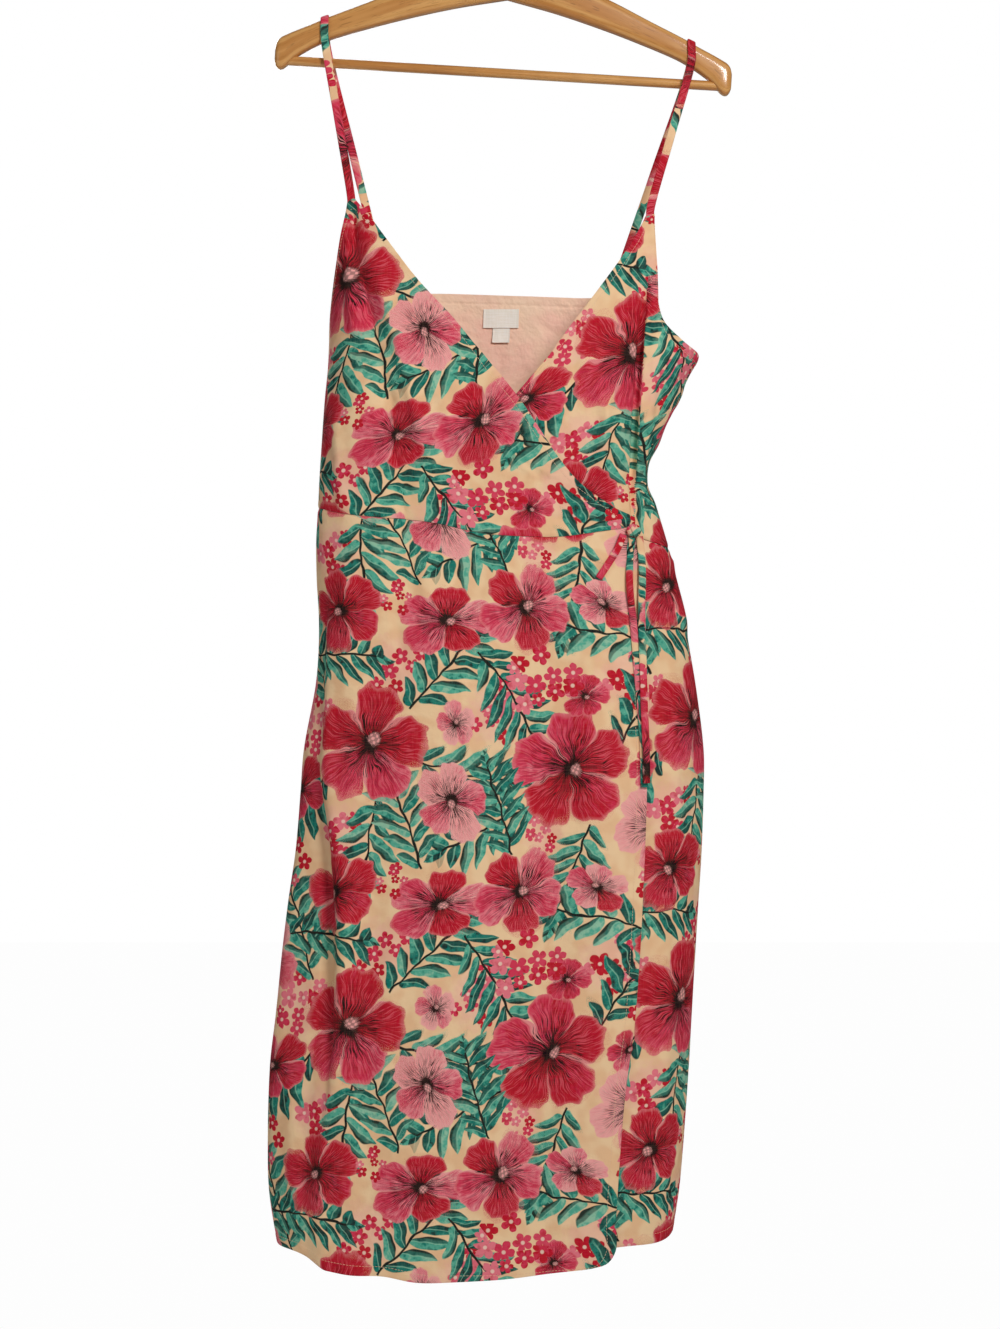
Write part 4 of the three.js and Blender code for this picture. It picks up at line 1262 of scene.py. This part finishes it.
# Creases of worn and hung cloth, finer than the folds, each where a hand would smooth it
FRONT_CREASES = table(
    FOLD_COLUMNS,
    (-156, -330, -155, -392, 0, 2.4, -2.6),
    (127, -396, 113, -655, 4, 2.3, -4.2),
    (131, -400, 118, -650, 4, 4.0, 1.6),
    (-197, -850, -196, -1262, -19, 5.5, -3.2),
    (-184, -846, -184, -1258, -19, 7.5, 2.2),
    (-186, -690, -192, -880, -2, 6, -3.0),
    (-174, -700, -178, -900, 3, 7, 2.0),
    (-137, -389, -83, -588, -3, 5.5, 2.6),
    (-146, -416, -110, -550, 2, 5, -2.3),
    (-110, -454, -43, -588, -4, 6, 2.0),
    (-72, -473, 14, -588, -3, 5, -1.6),
    (-172, -521, -163, -636, 2, 6, 2.2),
    (-34, -540, 43, -598, 2, 4.5, 0.9),
    (-160, -372, -150, -470, 3, 5, 2.2),
    (-128, -560, -96, -634, 2, 4.5, 1.8),
    (43, -612, 112, -640, 3, 4.5, 1.3),
    (16, -632, 108, -647, -2, 3.5, -0.9),
    (119, -660, 43, -750, 5, 6, 1.6),
    (119, -664, 81, -807, 6, 6.5, -1.4),
    (106, -668, -6, -712, 4, 5.5, 1.1),
    (133, -659, 167, -750, -4, 5, 1.8),
    (129, -674, 146, -827, 3, 6, -1.8),
    (150, -668, 172, -700, 0, 4, 1.2),
    (100, -454, 81, -617, 3, 5, 1.9),
    (146, -454, 133, -617, 2, 5, -2.3),
    (167, -497, 129, -579, 3, 5, 1.8),
    (160, -520, 132, -560, -2, 4, -1.2),
    (118, -352, 112, -440, 2, 5, 1.9),
    (58, -470, 92, -560, -3, 6, 1.6),
    (-115, -650, -105, -789, 4, 7, -2.0),
    (-91, -660, -72, -760, 2, 6, 1.4),
    (-163, -674, -169, -808, -3, 7, 1.5),
    (-142, -644, -150, -720, 2, 5, -1.2),
    (-60, -655, -48, -742, -2, 5.5, -1.0),
    (-15, -662, -22, -865, 4, 9, 1.2),
    (30, -668, 26, -742, 1, 5, 0.9),
    (43, -808, 57, -998, -4, 8, -1.2),
    (-58, -903, -72, -1094, 5, 10, 1.3),
    (4, -1046, 14, -1266, -5, 9, -1.3),
    (-110, -999, -124, -1218, 5, 10, 1.6),
    (-150, -920, -158, -1060, 4, 7, 1.4),
    (81, -999, 87, -1266, 4, 9, 1.4),
    (-177, -1094, -182, -1333, -4, 9, -1.8),
    (-215, -1142, -206, -1340, 3, 8, 1.7),
    (-40, -1180, -34, -1350, -2, 7, 1.2),
    (48, -1150, 42, -1345, 3, 7, 1.1),
    (-96, -1240, -100, -1352, 0, 6, -1.2),
    (150, -860, 160, -1010, -3, 7, 1.6),
    (132, -930, 140, -1150, 3, 6, -1.4),
    (150, -1080, 142, -1300, 3, 7, 1.5),
    (118, -1180, 112, -1320, 2, 6, 1.2),
    (-66, -842, -12, -858, 3, 3.6, 0.7),
    (-24, -884, 38, -872, -4, 3.2, -0.6),
    (20, -918, 74, -936, 3, 3.6, 0.7),
    (-124, -862, -88, -892, 3, 3.4, 0.7),
    (-140, -772, -96, -786, -2, 3.2, 0.6),
    (60, -1040, 96, -1062, 2, 3.2, -0.6),
    (-64, -1130, -18, -1112, 3, 3.4, 0.6),
    (-150, -1170, -112, -1192, -3, 3.4, 0.7),
    (-30, -1290, 22, -1278, 3, 3.4, 0.6),
    (-22, -560, 22, -600, -2, 3.2, 0.6),
    (-92, -500, -62, -536, 2, 3.2, -0.6),
)
BACK_CREASES = table(
    FOLD_COLUMNS,
    (-150, -440, -112, -560, 4, 6, 1.6),
    (-96, -425, -78, -560, -3, 5, -1.2),
    (-30, -418, -22, -540, 3, 6, 1.2),
    (20, -424, 28, -600, -3, 6, -1.1),
    (76, -430, 70, -560, 3, 5, 1.4),
    (140, -470, 104, -600, -4, 6, 1.7),
    (160, -500, 128, -560, 2, 4.5, -1.3),
    (-140, -560, -120, -640, 2, 5, 1.1),
    (-60, -575, -20, -640, 3, 5, 1.0),
    (-120, -655, -128, -800, 3, 7, 1.7),
    (-70, -662, -76, -760, -2, 6, -1.2),
    (-8, -665, -14, -850, 4, 8, 1.4),
    (58, -668, 70, -800, -3, 6, 1.3),
    (128, -680, 140, -820, 2, 7, -1.6),
    (-160, -900, -176, -1120, 4, 9, 1.6),
    (-84, -930, -70, -1160, -5, 9, -1.4),
    (8, -960, 2, -1210, 5, 10, 1.5),
    (74, -900, 84, -1080, -3, 8, 1.3),
    (136, -960, 130, -1240, 4, 9, -1.6),
    (-130, -1180, -136, -1330, 2, 7, -1.4),
    (-30, -1220, -26, -1330, 2, 7, 1.4),
    (60, -1180, 66, -1330, -2, 7, -1.2),
    (-80, -866, -20, -852, 3, 3.4, 0.7),
    (-40, -905, 30, -918, -4, 3.6, 0.7),
    (24, -866, 88, -880, 3, 3.4, -0.6),
    (-110, -1010, -66, -1032, 3, 3.4, 0.6),
    (40, -1110, 92, -1096, -2, 3.2, 0.6),
)


OVER = {"lift": over_lift, "creases": FRONT_CREASES}
UNDER = {"lift": no_lift, "creases": FRONT_CREASES}
BACK = {"lift": no_lift, "creases": BACK_CREASES, "sides": (SEAM_GAP, -SEAM_GAP)}


def over_bodice():
    top = edge((OVER_ARMHOLE, 8), (on_front((-160, -326), (-153, -325)), 1), (OVER_NECK, 20))
    bottom = edge((OVER_WAIST_SIDE, 5), (OVER_WAIST, 24))
    tip = edge(([tuple(bottom[-1]), tuple(top[-1])], 1))
    lines = (bottom, top, upright(LEFT_SEAM, WAIST_LEFT, UNDERARM_Z), tip)
    edges = ("seam", "band", "seam", "free")
    panel("over_bodice", lines, edges, LINING, (37, 90), **OVER)


def under_bodice():
    top = edge((UNDER_NECK, 17), (on_front((126, -341), (134, -341)), 1), (UNDER_ARMHOLE, 12))
    bottom = edge((UNDER_WAIST, 1))
    tip = edge(([tuple(bottom[0]), tuple(top[0])], 1))
    lines = (bottom, top, tip, upright(RIGHT_SEAM, WAIST_RIGHT, UNDERARM_Z))
    edges = ("seam", "band", "free", "seam")
    fold = {"top": (127, -402), "foot": (113, -650), "jump": (74, 52)}
    panel("under_bodice", lines, edges, LINING, (150, 30), fold=fold, pitch=FINE_PITCH, **UNDER)


def back_bodice():
    bottom, top = edge((BACK_WAIST, 1)), edge((BACK_TOP, 1))
    right = upright(RIGHT_SEAM, WAIST_RIGHT, UNDERARM_Z)
    left = upright(BACK_LEFT_SEAM, WAIST_LEFT, UNDERARM_Z)
    edges = ("seam", "band", "seam", "seam")
    panel("back_bodice", (bottom, top, right, left), edges, LINING, (-220, 60), **BACK)


def over_skirt():
    top = raised(edge((OVER_WAIST_SIDE, 8), (OVER_WAIST, 20)), -SEAM_GAP)
    bottom = edge((OVER_HEM_SIDE, 8), (OVER_HEM, 20))
    wrap = edge((WRAP_EDGE + [tuple(top[-1])], 1))
    side = with_end(upright(LEFT_SEAM, HEM_LEFT, WAIST_LEFT), -1, top[0])
    edges = ("band", "seam", "seam", "band")
    panel("over_skirt", (bottom, top, side, wrap), edges, WRONG_SIDE, (0, 0), **OVER)


def under_skirt():
    top = raised(edge((UNDER_WAIST, 1)), -2 * SEAM_GAP)
    bottom = edge((UNDER_HEM, 1))
    hidden = edge(([tuple(bottom[0]), tuple(top[0])], 1))
    side = with_end(upright(RIGHT_SEAM, HEM_RIGHT, WAIST_RIGHT), -1, top[-1])
    edges = ("band", "seam", "band", "seam")
    panel("under_skirt", (bottom, top, hidden, side), edges, WRONG_SIDE, (70, 110), **UNDER)


def back_skirt():
    top = raised(edge((BACK_WAIST, 1)), -SEAM_GAP)
    bottom = edge((BACK_HEM, 1))
    right = with_end(upright(RIGHT_SEAM, HEM_RIGHT, WAIST_RIGHT), -1, top[0])
    left = with_end(upright(BACK_LEFT_SEAM, HEM_LEFT, WAIST_LEFT), -1, top[-1])
    edges = ("band", "seam", "seam", "seam")
    panel("back_skirt", (bottom, top, right, left), edges, WRONG_SIDE, (-160, 0), **BACK)


for build in (over_bodice, under_bodice, back_bodice, over_skirt, under_skirt, back_skirt):
    build()

# The hanger's arm from its middle to its tip: the upper and lower edge, and half its depth
ARM = table(
    ("u", "upper", "lower", "half"),
    (0, -90, -127, 8),
    (50, -103, -138, 8),
    (100, -122, -152, 7.5),
    (140, -140, -165, 7),
    (165, -151, -174, 7),
    (176, -156, -179, 7),
    (190, -163, -187, 7),
    (203, -169, -196, 7),
    (213, -174, -206, 7),
    (218, -177, -207.5, 6.5),
    (221, -181, -205, 5),
    (222.5, -186, -201, 3),
)
ARM["z"] = -ARM["u"]


def arm_size(key, u):
    return along(ARM, key, -np.asarray(u, float))


# The hanger's own plane, turned about the hook's crown
def on_hanger(u, v, y=0.0):
    u, v, y = np.broadcast_arrays(np.asarray(u, float), v, y)
    x, z = in_line(u, v, HANGER_TILT)
    return np.stack([x, y, z], axis=-1)


# Each strap's name, where it crosses the hanger's arm, its slope in degrees, its front and back end, the
# step of the cloth at its front end, and its place on the print
STRAPS = (
    ("strap_right", -176, 18, front(-157, -324.5), back(-127, -409), over_lift, (40, 150)),
    ("strap_left", 181, -25, front(130, -339.4), back(97, -412.6), no_lift, (215, 60)),
)
STRAP_SPACE = 0.3  # between a strap and the hanger's arm
TUCKED_IN = 5.0  # how far a strap's end goes in behind the cloth
CLEAR_OF = 2.0  # a strap has come out from behind the cloth this far above its edge
BOW = 0.8  # how far a strap's free run bows out


# A strap from behind the front's point over the hanger's arm to behind the back's top edge
def strap(name, arm, slope, low, end, lift, print_place):
    over = STRAP_DEPTH / 2 + STRAP_SPACE
    half = float(arm_size("half", abs(arm))) + over
    top = on_hanger(arm, float(arm_size("upper", abs(arm))) + over)
    # distance from the arm's middle and drop from its top, from below the arm upwards
    bends = ((half + 0.6, 20), (half, 8), (half * 0.88, 1.8), (half * 0.5, 0))
    down_front = [np.array([top[0], -y, top[2] - drop]) for y, drop in bends]
    down_back = [np.array([top[0], y, top[2] - drop]) for y, drop in bends[::-1]]
    behind = float(lift(*map(np.array, low))) - 0.5
    start = skin(np.array(low[0]), np.array(low[1] - TUCKED_IN), behind)
    front_edge = skin(np.array(low[0]), np.array(low[1] + CLEAR_OF), behind + 0.8)
    finish = skin(np.array(end[0]), np.array(end[1] - TUCKED_IN), -0.5)
    back_edge = skin(np.array(end[0]), np.array(end[1] + CLEAR_OF), 0.4)
    bow = np.array([0, BOW, 0])
    before_top = [start, front_edge, (front_edge + down_front[0]) / 2 - bow]
    after_top = [(down_back[-1] + back_edge) / 2 + bow, back_edge, finish]
    path = curve_through([*before_top, *down_front, np.array(top), *down_back, *after_top], 240)
    tilt = math.radians(slope)
    across = (math.cos(tilt), 0, math.sin(tilt))
    lengthways = reach_along(path) + print_place[1]
    tube(name, path, flat_section(STRAP_WIDTH, STRAP_DEPTH, 16), across, print_place[0], lengthways)


for strap_row in STRAPS:
    strap(*strap_row)


# The turned-down short end: out from the knot, a narrow turn, and back
def tie_loop():
    low = TIE_REST - 0.2
    gap = 1.4 + TIE_DEPTH * 0.7
    leg = ((103, -650), (97, -664), (87, -680), (81, -689))
    rises = (0, 0, 0, 0.1)
    route = [before(x, z, low + gap * rise) for (x, z), rise in zip(leg, rises)]
    route.append(before(79.5, -691.5, low + gap * 0.5))
    route += [before(x, z, low + gap * (1 - rise)) for (x, z), rise in zip(leg[::-1], rises[::-1])]
    path = curve_through(route, 120)
    section = flat_section(TIE_WIDTH, TIE_DEPTH * 0.7)
    tube("tie_loop", path, section, (0.83, 0, -0.56), 50, reach_along(path) + 190)


# The knot: one turn of cloth pulled tight over two bunched sides. The turn is a ribbed band about a slanting
# line, with a groove to either side of it and pleats in the bunched sides. Shares are of the knot's radius.
SLANT_X, SLANT_Z = 0.94, 0.34
BAND_EDGE = (0.30, 0.40)
GROOVE = {"place": 0.42, "width": 0.07, "depth": 0.15}
PLEATS = {"count": 9, "height": 0.03}
RIBS = {"count": 26, "height": 0.02}
SIDES_SIZE, BAND_RISE = 0.93, 0.07
POLE = 0.46  # how far a pole lies from the centre, in the knot's height
KNOT_PRINT = {"scale": 1.3, "u": 96, "v": 40}


def tie_knot():
    width, height, depth = KNOT["width"], KNOT["height"], KNOT["depth"]
    turn, _ = front(KNOT["x"], KNOT["z"])
    normal = facing(turn, KNOT["z"])
    reach = np.linalg.norm(np.array([width, depth, height]) * normal) / 2
    centre = before(KNOT["x"], KNOT["z"], WALL + LAYER_STEP - 0.5 + reach)
    rows, columns = 49, 96
    polar = np.linspace(0, math.pi, rows)[:, None]
    round_ = np.linspace(0, math.tau, columns, endpoint=False)[None, :]
    x = np.sin(polar) * np.cos(round_)
    y = np.sin(polar) * np.sin(round_)
    z = np.cos(polar) * np.ones_like(round_)
    slant = x * SLANT_X + z * SLANT_Z
    band = 1 - smooth(*BAND_EDGE, np.abs(slant))
    groove = GROOVE["depth"] * bell(np.abs(slant), GROOVE["place"], GROOVE["width"])
    pleats = PLEATS["height"] * np.sin(PLEATS["count"] * np.arctan2(z, y) + 3 * slant) * (1 - band)
    ribs = RIBS["height"] * np.sin(slant * RIBS["count"]) * band
    size = SIDES_SIZE + BAND_RISE * band - groove + pleats + ribs
    shape = np.stack([x * width / 2, y * depth / 2, z * height / 2], axis=-1) * size[..., None]
    points = (shape + centre)[1:-1].reshape(-1, 3)
    pole = np.array([0, 0, height * POLE])
    poles = np.stack([centre + pole, centre - pole])
    faces = [(a, d, c, b) for a, b, c, d in ring_faces(rows - 2, columns)]
    top, foot = len(points), len(points) + 1
    last = (rows - 3) * columns
    for k in range(columns):
        faces.append((top, k, (k + 1) % columns))
        faces.append((foot, last + (k + 1) % columns, last + k))
    points = np.vstack([points, poles])
    piece = new_object("tie_knot_cloth", points, faces, [PRINT])
    u, _, v = points.T * KNOT_PRINT["scale"]
    paint(piece, u + KNOT_PRINT["u"], v + KNOT_PRINT["v"])
    stands_for("tie_knot")


tie_loop()
tie_knot()


# A thin closed sheet over a grid of places, between two distances from the garment's inner surface
def shell(name, turn, z, outer_out, inner_out, material, uv):
    points, faces, _ = closed_sheet(skin(turn, z, outer_out), skin(turn, z, inner_out))
    piece = new_object(name, points, faces, [material])
    grain_map(piece, np.tile(uv.reshape(-1, 2), (2, 1)))
    return piece


# The lining shows inside the back, under a stitched band along its top. It covers part of the back's width
# and height, on a grid that is finer near the top.
LINING_BAND = 9.0
LINING_STITCH_DIP = 0.5
LINING_WIDTH = (2 / 26, 24 / 26)
LINING_FOOT, LINING_FINE = 5 / 12, 0.94
LINING_CREASES = table(
    FOLD_COLUMNS,
    (-14, -452, -16, -520, 1, 2.6, 1.0),
    (-70, -440, -30, -474, 3, 4, 0.9),
    (-80, -424, -44, -436, 2, 3, 0.6),
    (20, -436, 62, -462, -3, 4, 0.9),
    (8, -470, 40, -500, 2, 4, -0.8),
    (-60, -470, -22, -510, 3, 5, 0.9),
    (70, -425, 96, -452, 2, 4, -0.8),
    (-4, -430, 14, -446, 1, 2.5, 0.5),
)


def back_lining():
    bottom, top = edge((BACK_WAIST, 1)), edge((BACK_TOP, 1))
    left = upright(RIGHT_SEAM, WAIST_RIGHT, UNDERARM_Z)
    right = upright(BACK_LEFT_SEAM, WAIST_LEFT, UNDERARM_Z)
    s = np.linspace(*LINING_WIDTH, 130)
    r = np.concatenate([np.linspace(LINING_FOOT, 0.935, 56), np.linspace(LINING_FINE, 1, 14)])
    turn, z = fill(bottom, raised(top, -1.2), left, right, s, r)
    surface = hang(turn, z)
    depth = np.cumsum(steps_along(surface[::-1]), axis=0)
    from_top = np.vstack([depth[::-1], np.zeros((1, len(s)))])
    seam = LINING_STITCH_DIP * bell(from_top, LINING_BAND, 1.0)
    relief = fold_height(LINING_CREASES, surface[..., 0], z) + seam
    inner = LINING_OUT - WALL + relief
    uv = np.stack([girth(turn, z), z], axis=-1)
    outer = np.maximum(inner + CLOTH, LINING_OUT - 0.5)
    piece = shell("back_lining_cloth", turn, z, outer, inner, LINING, uv)
    stands_for("back_lining")
    lay_flat(surface)


# Blank woven labels inside the back: the neck label, and the size tag below it. Their lower ends hang away
# from the lining, their side edges curl away from it and the tape waves a little.
LABEL_THICK = 0.7
EDGE_CURL, TAPE_WAVE = 0.30, 0.12


def label(name, left, right, low, high, rows, curl):
    s, r = np.linspace(0, 1, 40), np.linspace(0, 1, rows)
    x = right + (left - right) * s
    turn = np.array([back(value, (low + high) / 2)[0] for value in x])[None, :] * np.ones((rows, 1))
    z = (low + (high - low) * r)[:, None] * np.ones((1, len(s)))
    across = np.abs(s * 2 - 1)[None, :]
    rim = EDGE_CURL * smooth(0.90, 0.97, across) + TAPE_WAVE * np.cos(s * 9)[None, :]
    hanging = curl * (1 - r)[:, None] ** 2
    inner = LABEL_OUT - 1.0 - hanging - rim
    outer = inner + LABEL_THICK
    uv = np.stack([x[None, :] * np.ones((rows, 1)), z], axis=-1)
    piece = shell(name + "_tape", turn, z, outer, inner, LABEL, uv)
    stands_for(name)


back_lining()
label("neck_label", -31, 4, -440.5, -422, 24, 0.5)
label("size_tag", -22, -5, -455, -441, 20, 1.4)


# One arm of the hanger, as smooth rings from the middle to the tip, closer together at its rounded end
def hanger_arm(side, name):
    sides = 40
    u = np.concatenate([[0.02], np.linspace(4, 200, 50), np.linspace(203, 222.5, 26)])
    upper, lower, half = (arm_size(key, u) for key in ("upper", "lower", "half"))
    angle = np.arange(sides) * math.tau / sides
    v = ((upper + lower) / 2)[:, None] + ((upper - lower) / 2)[:, None] * blunt(np.sin(angle), ARM_BLUNT)
    y = half[:, None] * blunt(np.cos(angle), ARM_BLUNT)
    points = on_hanger((side * u)[:, None], v, y).reshape(-1, 3)
    faces = tube_faces(len(u), sides)
    if side > 0:
        faces = [face[::-1] for face in faces]
    piece = new_object(name + "_wood", points, faces, [WOOD])
    along_grain = np.repeat(u, sides) * side
    around = np.tile(np.abs(angle - math.pi) * 9, len(u))
    grain_map(piece, np.stack([along_grain, around], axis=1))
    stands_for(name)


def round_section(radius, sides=32):
    angle = np.arange(sides) * math.tau / sides
    return np.stack([radius * np.cos(angle), radius * np.sin(angle)], axis=1)


def hanger_bar():
    path = on_hanger(np.linspace(-BAR["reach"], BAR["reach"], 30), BAR["v"])
    points, faces = sweep(path, round_section(BAR["radius"]), (0, 1, 0))
    piece = new_object("hanger_bar_wood", points, faces, [WOOD])
    around = np.tile(np.abs(np.arange(32) - 16) * 0.9, len(path)) + 90
    grain_map(piece, np.stack([np.repeat(path[:, 0], 32), around], axis=1))
    stands_for("hanger_bar")


def hanger_hook():
    wire, radius, seat = HOOK["wire"], HOOK["radius"], HOOK["seat"]
    route = [on_hanger(0, seat), on_hanger(0, -90), on_hanger(0, -62), on_hanger(4, -52), on_hanger(14, -42)]
    for angle in np.radians(np.arange(HOOK["from"], HOOK["to"], HOOK["step"])):
        route.append(on_hanger(radius * math.cos(angle), wire - radius + radius * math.sin(angle)))
    path = curve_through(route, 200)
    points, faces = sweep(path, round_section(wire, 24), (0, 1, 0))
    piece = new_object("hanger_hook_wire", points, faces, [STEEL])
    stands_for("hanger_hook")


hanger_arm(-1, "hanger_arm_left")
hanger_arm(1, "hanger_arm_right")
hanger_bar()
hanger_hook()


# Topstitching: a thread piece on every pitch of a line, turned along it
def stitch_tree():
    tree = bpy.data.node_groups.new("topstitching", "GeometryNodeTree")
    inputs = (("Lines", "Geometry"), ("Pitch", "Float"), ("Half size", "Vector"), ("Thread", "Material"))
    for name, kind in inputs:
        tree.interface.new_socket(name, in_out="INPUT", socket_type="NodeSocket" + kind)
    tree.interface.new_socket("Stitches", in_out="OUTPUT", socket_type="NodeSocketGeometry")
    start, end = add_node(tree, "NodeGroupInput"), add_node(tree, "NodeGroupOutput")
    lines = add_node(tree, "GeometryNodeMeshToCurve")
    spaced = add_node(tree, "GeometryNodeResampleCurve", mode="LENGTH")
    stitch = add_node(tree, "GeometryNodeMeshUVSphere", {"Segments": 6, "Rings": 5})
    tangent = add_node(tree, "GeometryNodeInputTangent")
    turned = add_node(tree, "FunctionNodeAlignRotationToVector", axis="Z")
    placed = add_node(tree, "GeometryNodeInstanceOnPoints")
    real = add_node(tree, "GeometryNodeRealizeInstances")
    finished = add_node(tree, "GeometryNodeSetMaterial")
    wires = (
        (start, "Lines", lines, "Mesh"),
        (lines, "Curve", spaced, "Curve"),
        (start, "Pitch", spaced, "Length"),
        (spaced, "Curve", placed, "Points"),
        (stitch, "Mesh", placed, "Instance"),
        (tangent, "Tangent", turned, "Vector"),
        (turned, "Rotation", placed, "Rotation"),
        (start, "Half size", placed, "Scale"),
        (placed, "Instances", real, "Geometry"),
        (real, "Geometry", finished, "Geometry"),
        (start, "Thread", finished, "Material"),
        (finished, "Geometry", end, "Stitches"),
    )
    for giver, output, taker, entry in wires:
        tree.links.new(giver.outputs[output], taker.inputs[entry])
    return tree


STITCH = {"pitch": 3.1, "length": 2.5, "thread": 0.46}


def stitching(name, lines):
    points, edges = [], []
    for line in lines:
        start = len(points)
        points += (line * MM).tolist()
        edges += [(start + i, start + i + 1) for i in range(len(line) - 1)]
    mesh = bpy.data.meshes.new(name + "_lines")
    mesh.from_pydata(points, edges, [])
    guide = add_to_scene(name + "_lines", mesh)
    modifier = guide.modifiers.new("topstitching", "NODES")
    modifier.node_group = stitch_tree()
    half = (STITCH["thread"] / 2 * MM, STITCH["thread"] / 2 * MM, STITCH["length"] / 2 * MM)
    values = {"Pitch": STITCH["pitch"] * MM, "Half size": half, "Thread": THREAD}
    for item in modifier.node_group.interface.items_tree:
        if item.in_out == "INPUT" and item.name in values:
            modifier[item.identifier] = values[item.name]
    evaluated = guide.evaluated_get(bpy.context.evaluated_depsgraph_get())
    made = bpy.data.meshes.new_from_object(evaluated)
    bpy.data.objects.remove(guide)
    made.shade_smooth()
    piece = add_to_scene(name, made)
    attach(piece, BODY)


stitching("topstitching", STITCH_LINES)

# Plain pale floor and soft studio light
FLOOR_LEVEL, FLOOR_REACH = -1.75, 6
FLOOR_GLOW = 0.985  # what the camera sees of the floor, which light sees as a matt surface
floor_mesh = bpy.data.meshes.new("floor")
corners = [(x * FLOOR_REACH, y * FLOOR_REACH, FLOOR_LEVEL) for x, y in ((-1, -1), (1, -1), (1, 1), (-1, 1))]
floor_mesh.from_pydata(corners, [], [(0, 1, 2, 3)])
FLOOR, floor_tree, floor_shader = new_material("pale floor", (0.8, 0.8, 0.8, 1), 0.9)
glow = add_node(floor_tree, "ShaderNodeEmission", {"Strength": FLOOR_GLOW})
plain_to_camera = add_node(floor_tree, "ShaderNodeMixShader")
to_camera = add_node(floor_tree, "ShaderNodeLightPath").outputs["Is Camera Ray"]
for number, socket in enumerate((to_camera, floor_shader.outputs[0], glow.outputs[0])):
    floor_tree.links.new(socket, plain_to_camera.inputs[number])
floor_tree.links.new(plain_to_camera.outputs[0], floor_tree.nodes["Material Output"].inputs["Surface"])
floor_mesh.materials.append(FLOOR)
floor = add_to_scene("floor", floor_mesh)

LIGHT_AIM = (0, 0, -0.8)


def softbox(name, place, size, watts):
    light = bpy.data.lights.new(name, "AREA")
    light.shape = "RECTANGLE"
    light.size, light.size_y = size
    light.energy = watts
    lamp = add_to_scene(name, light)
    lamp.location = place
    aim = np.array(LIGHT_AIM) - np.array(place)
    lamp.rotation_euler = Vector(aim).to_track_quat("-Z", "Y").to_euler()


softbox("key light", (0.95, -2.2, 0.55), (0.65, 0.65), 43)
softbox("fill light", (-1.9, -1.6, -0.3), (1.2, 1.6), 7)
softbox("back light", (-0.9, 2.5, 0.4), (1.4, 1.4), 46)

SKY_LIGHT = 0.13  # the sky's strength as a light, while the camera sees it white
world = bpy.data.worlds.new("studio")
bpy.context.scene.world = world
world.use_nodes = True
studio = world.node_tree
sky = studio.nodes["Background"]
sky.inputs["Color"].default_value = (1, 1, 1, 1)
seen = add_node(studio, "ShaderNodeLightPath")
brightness = ramp(Wire(studio, seen.outputs["Is Camera Ray"]), 0.0, 1.0)
brightness.socket.node.inputs["To Min"].default_value = SKY_LIGHT
studio.links.new(brightness.socket, sky.inputs["Strength"])
bpy.context.scene.view_settings.view_transform = "Standard"
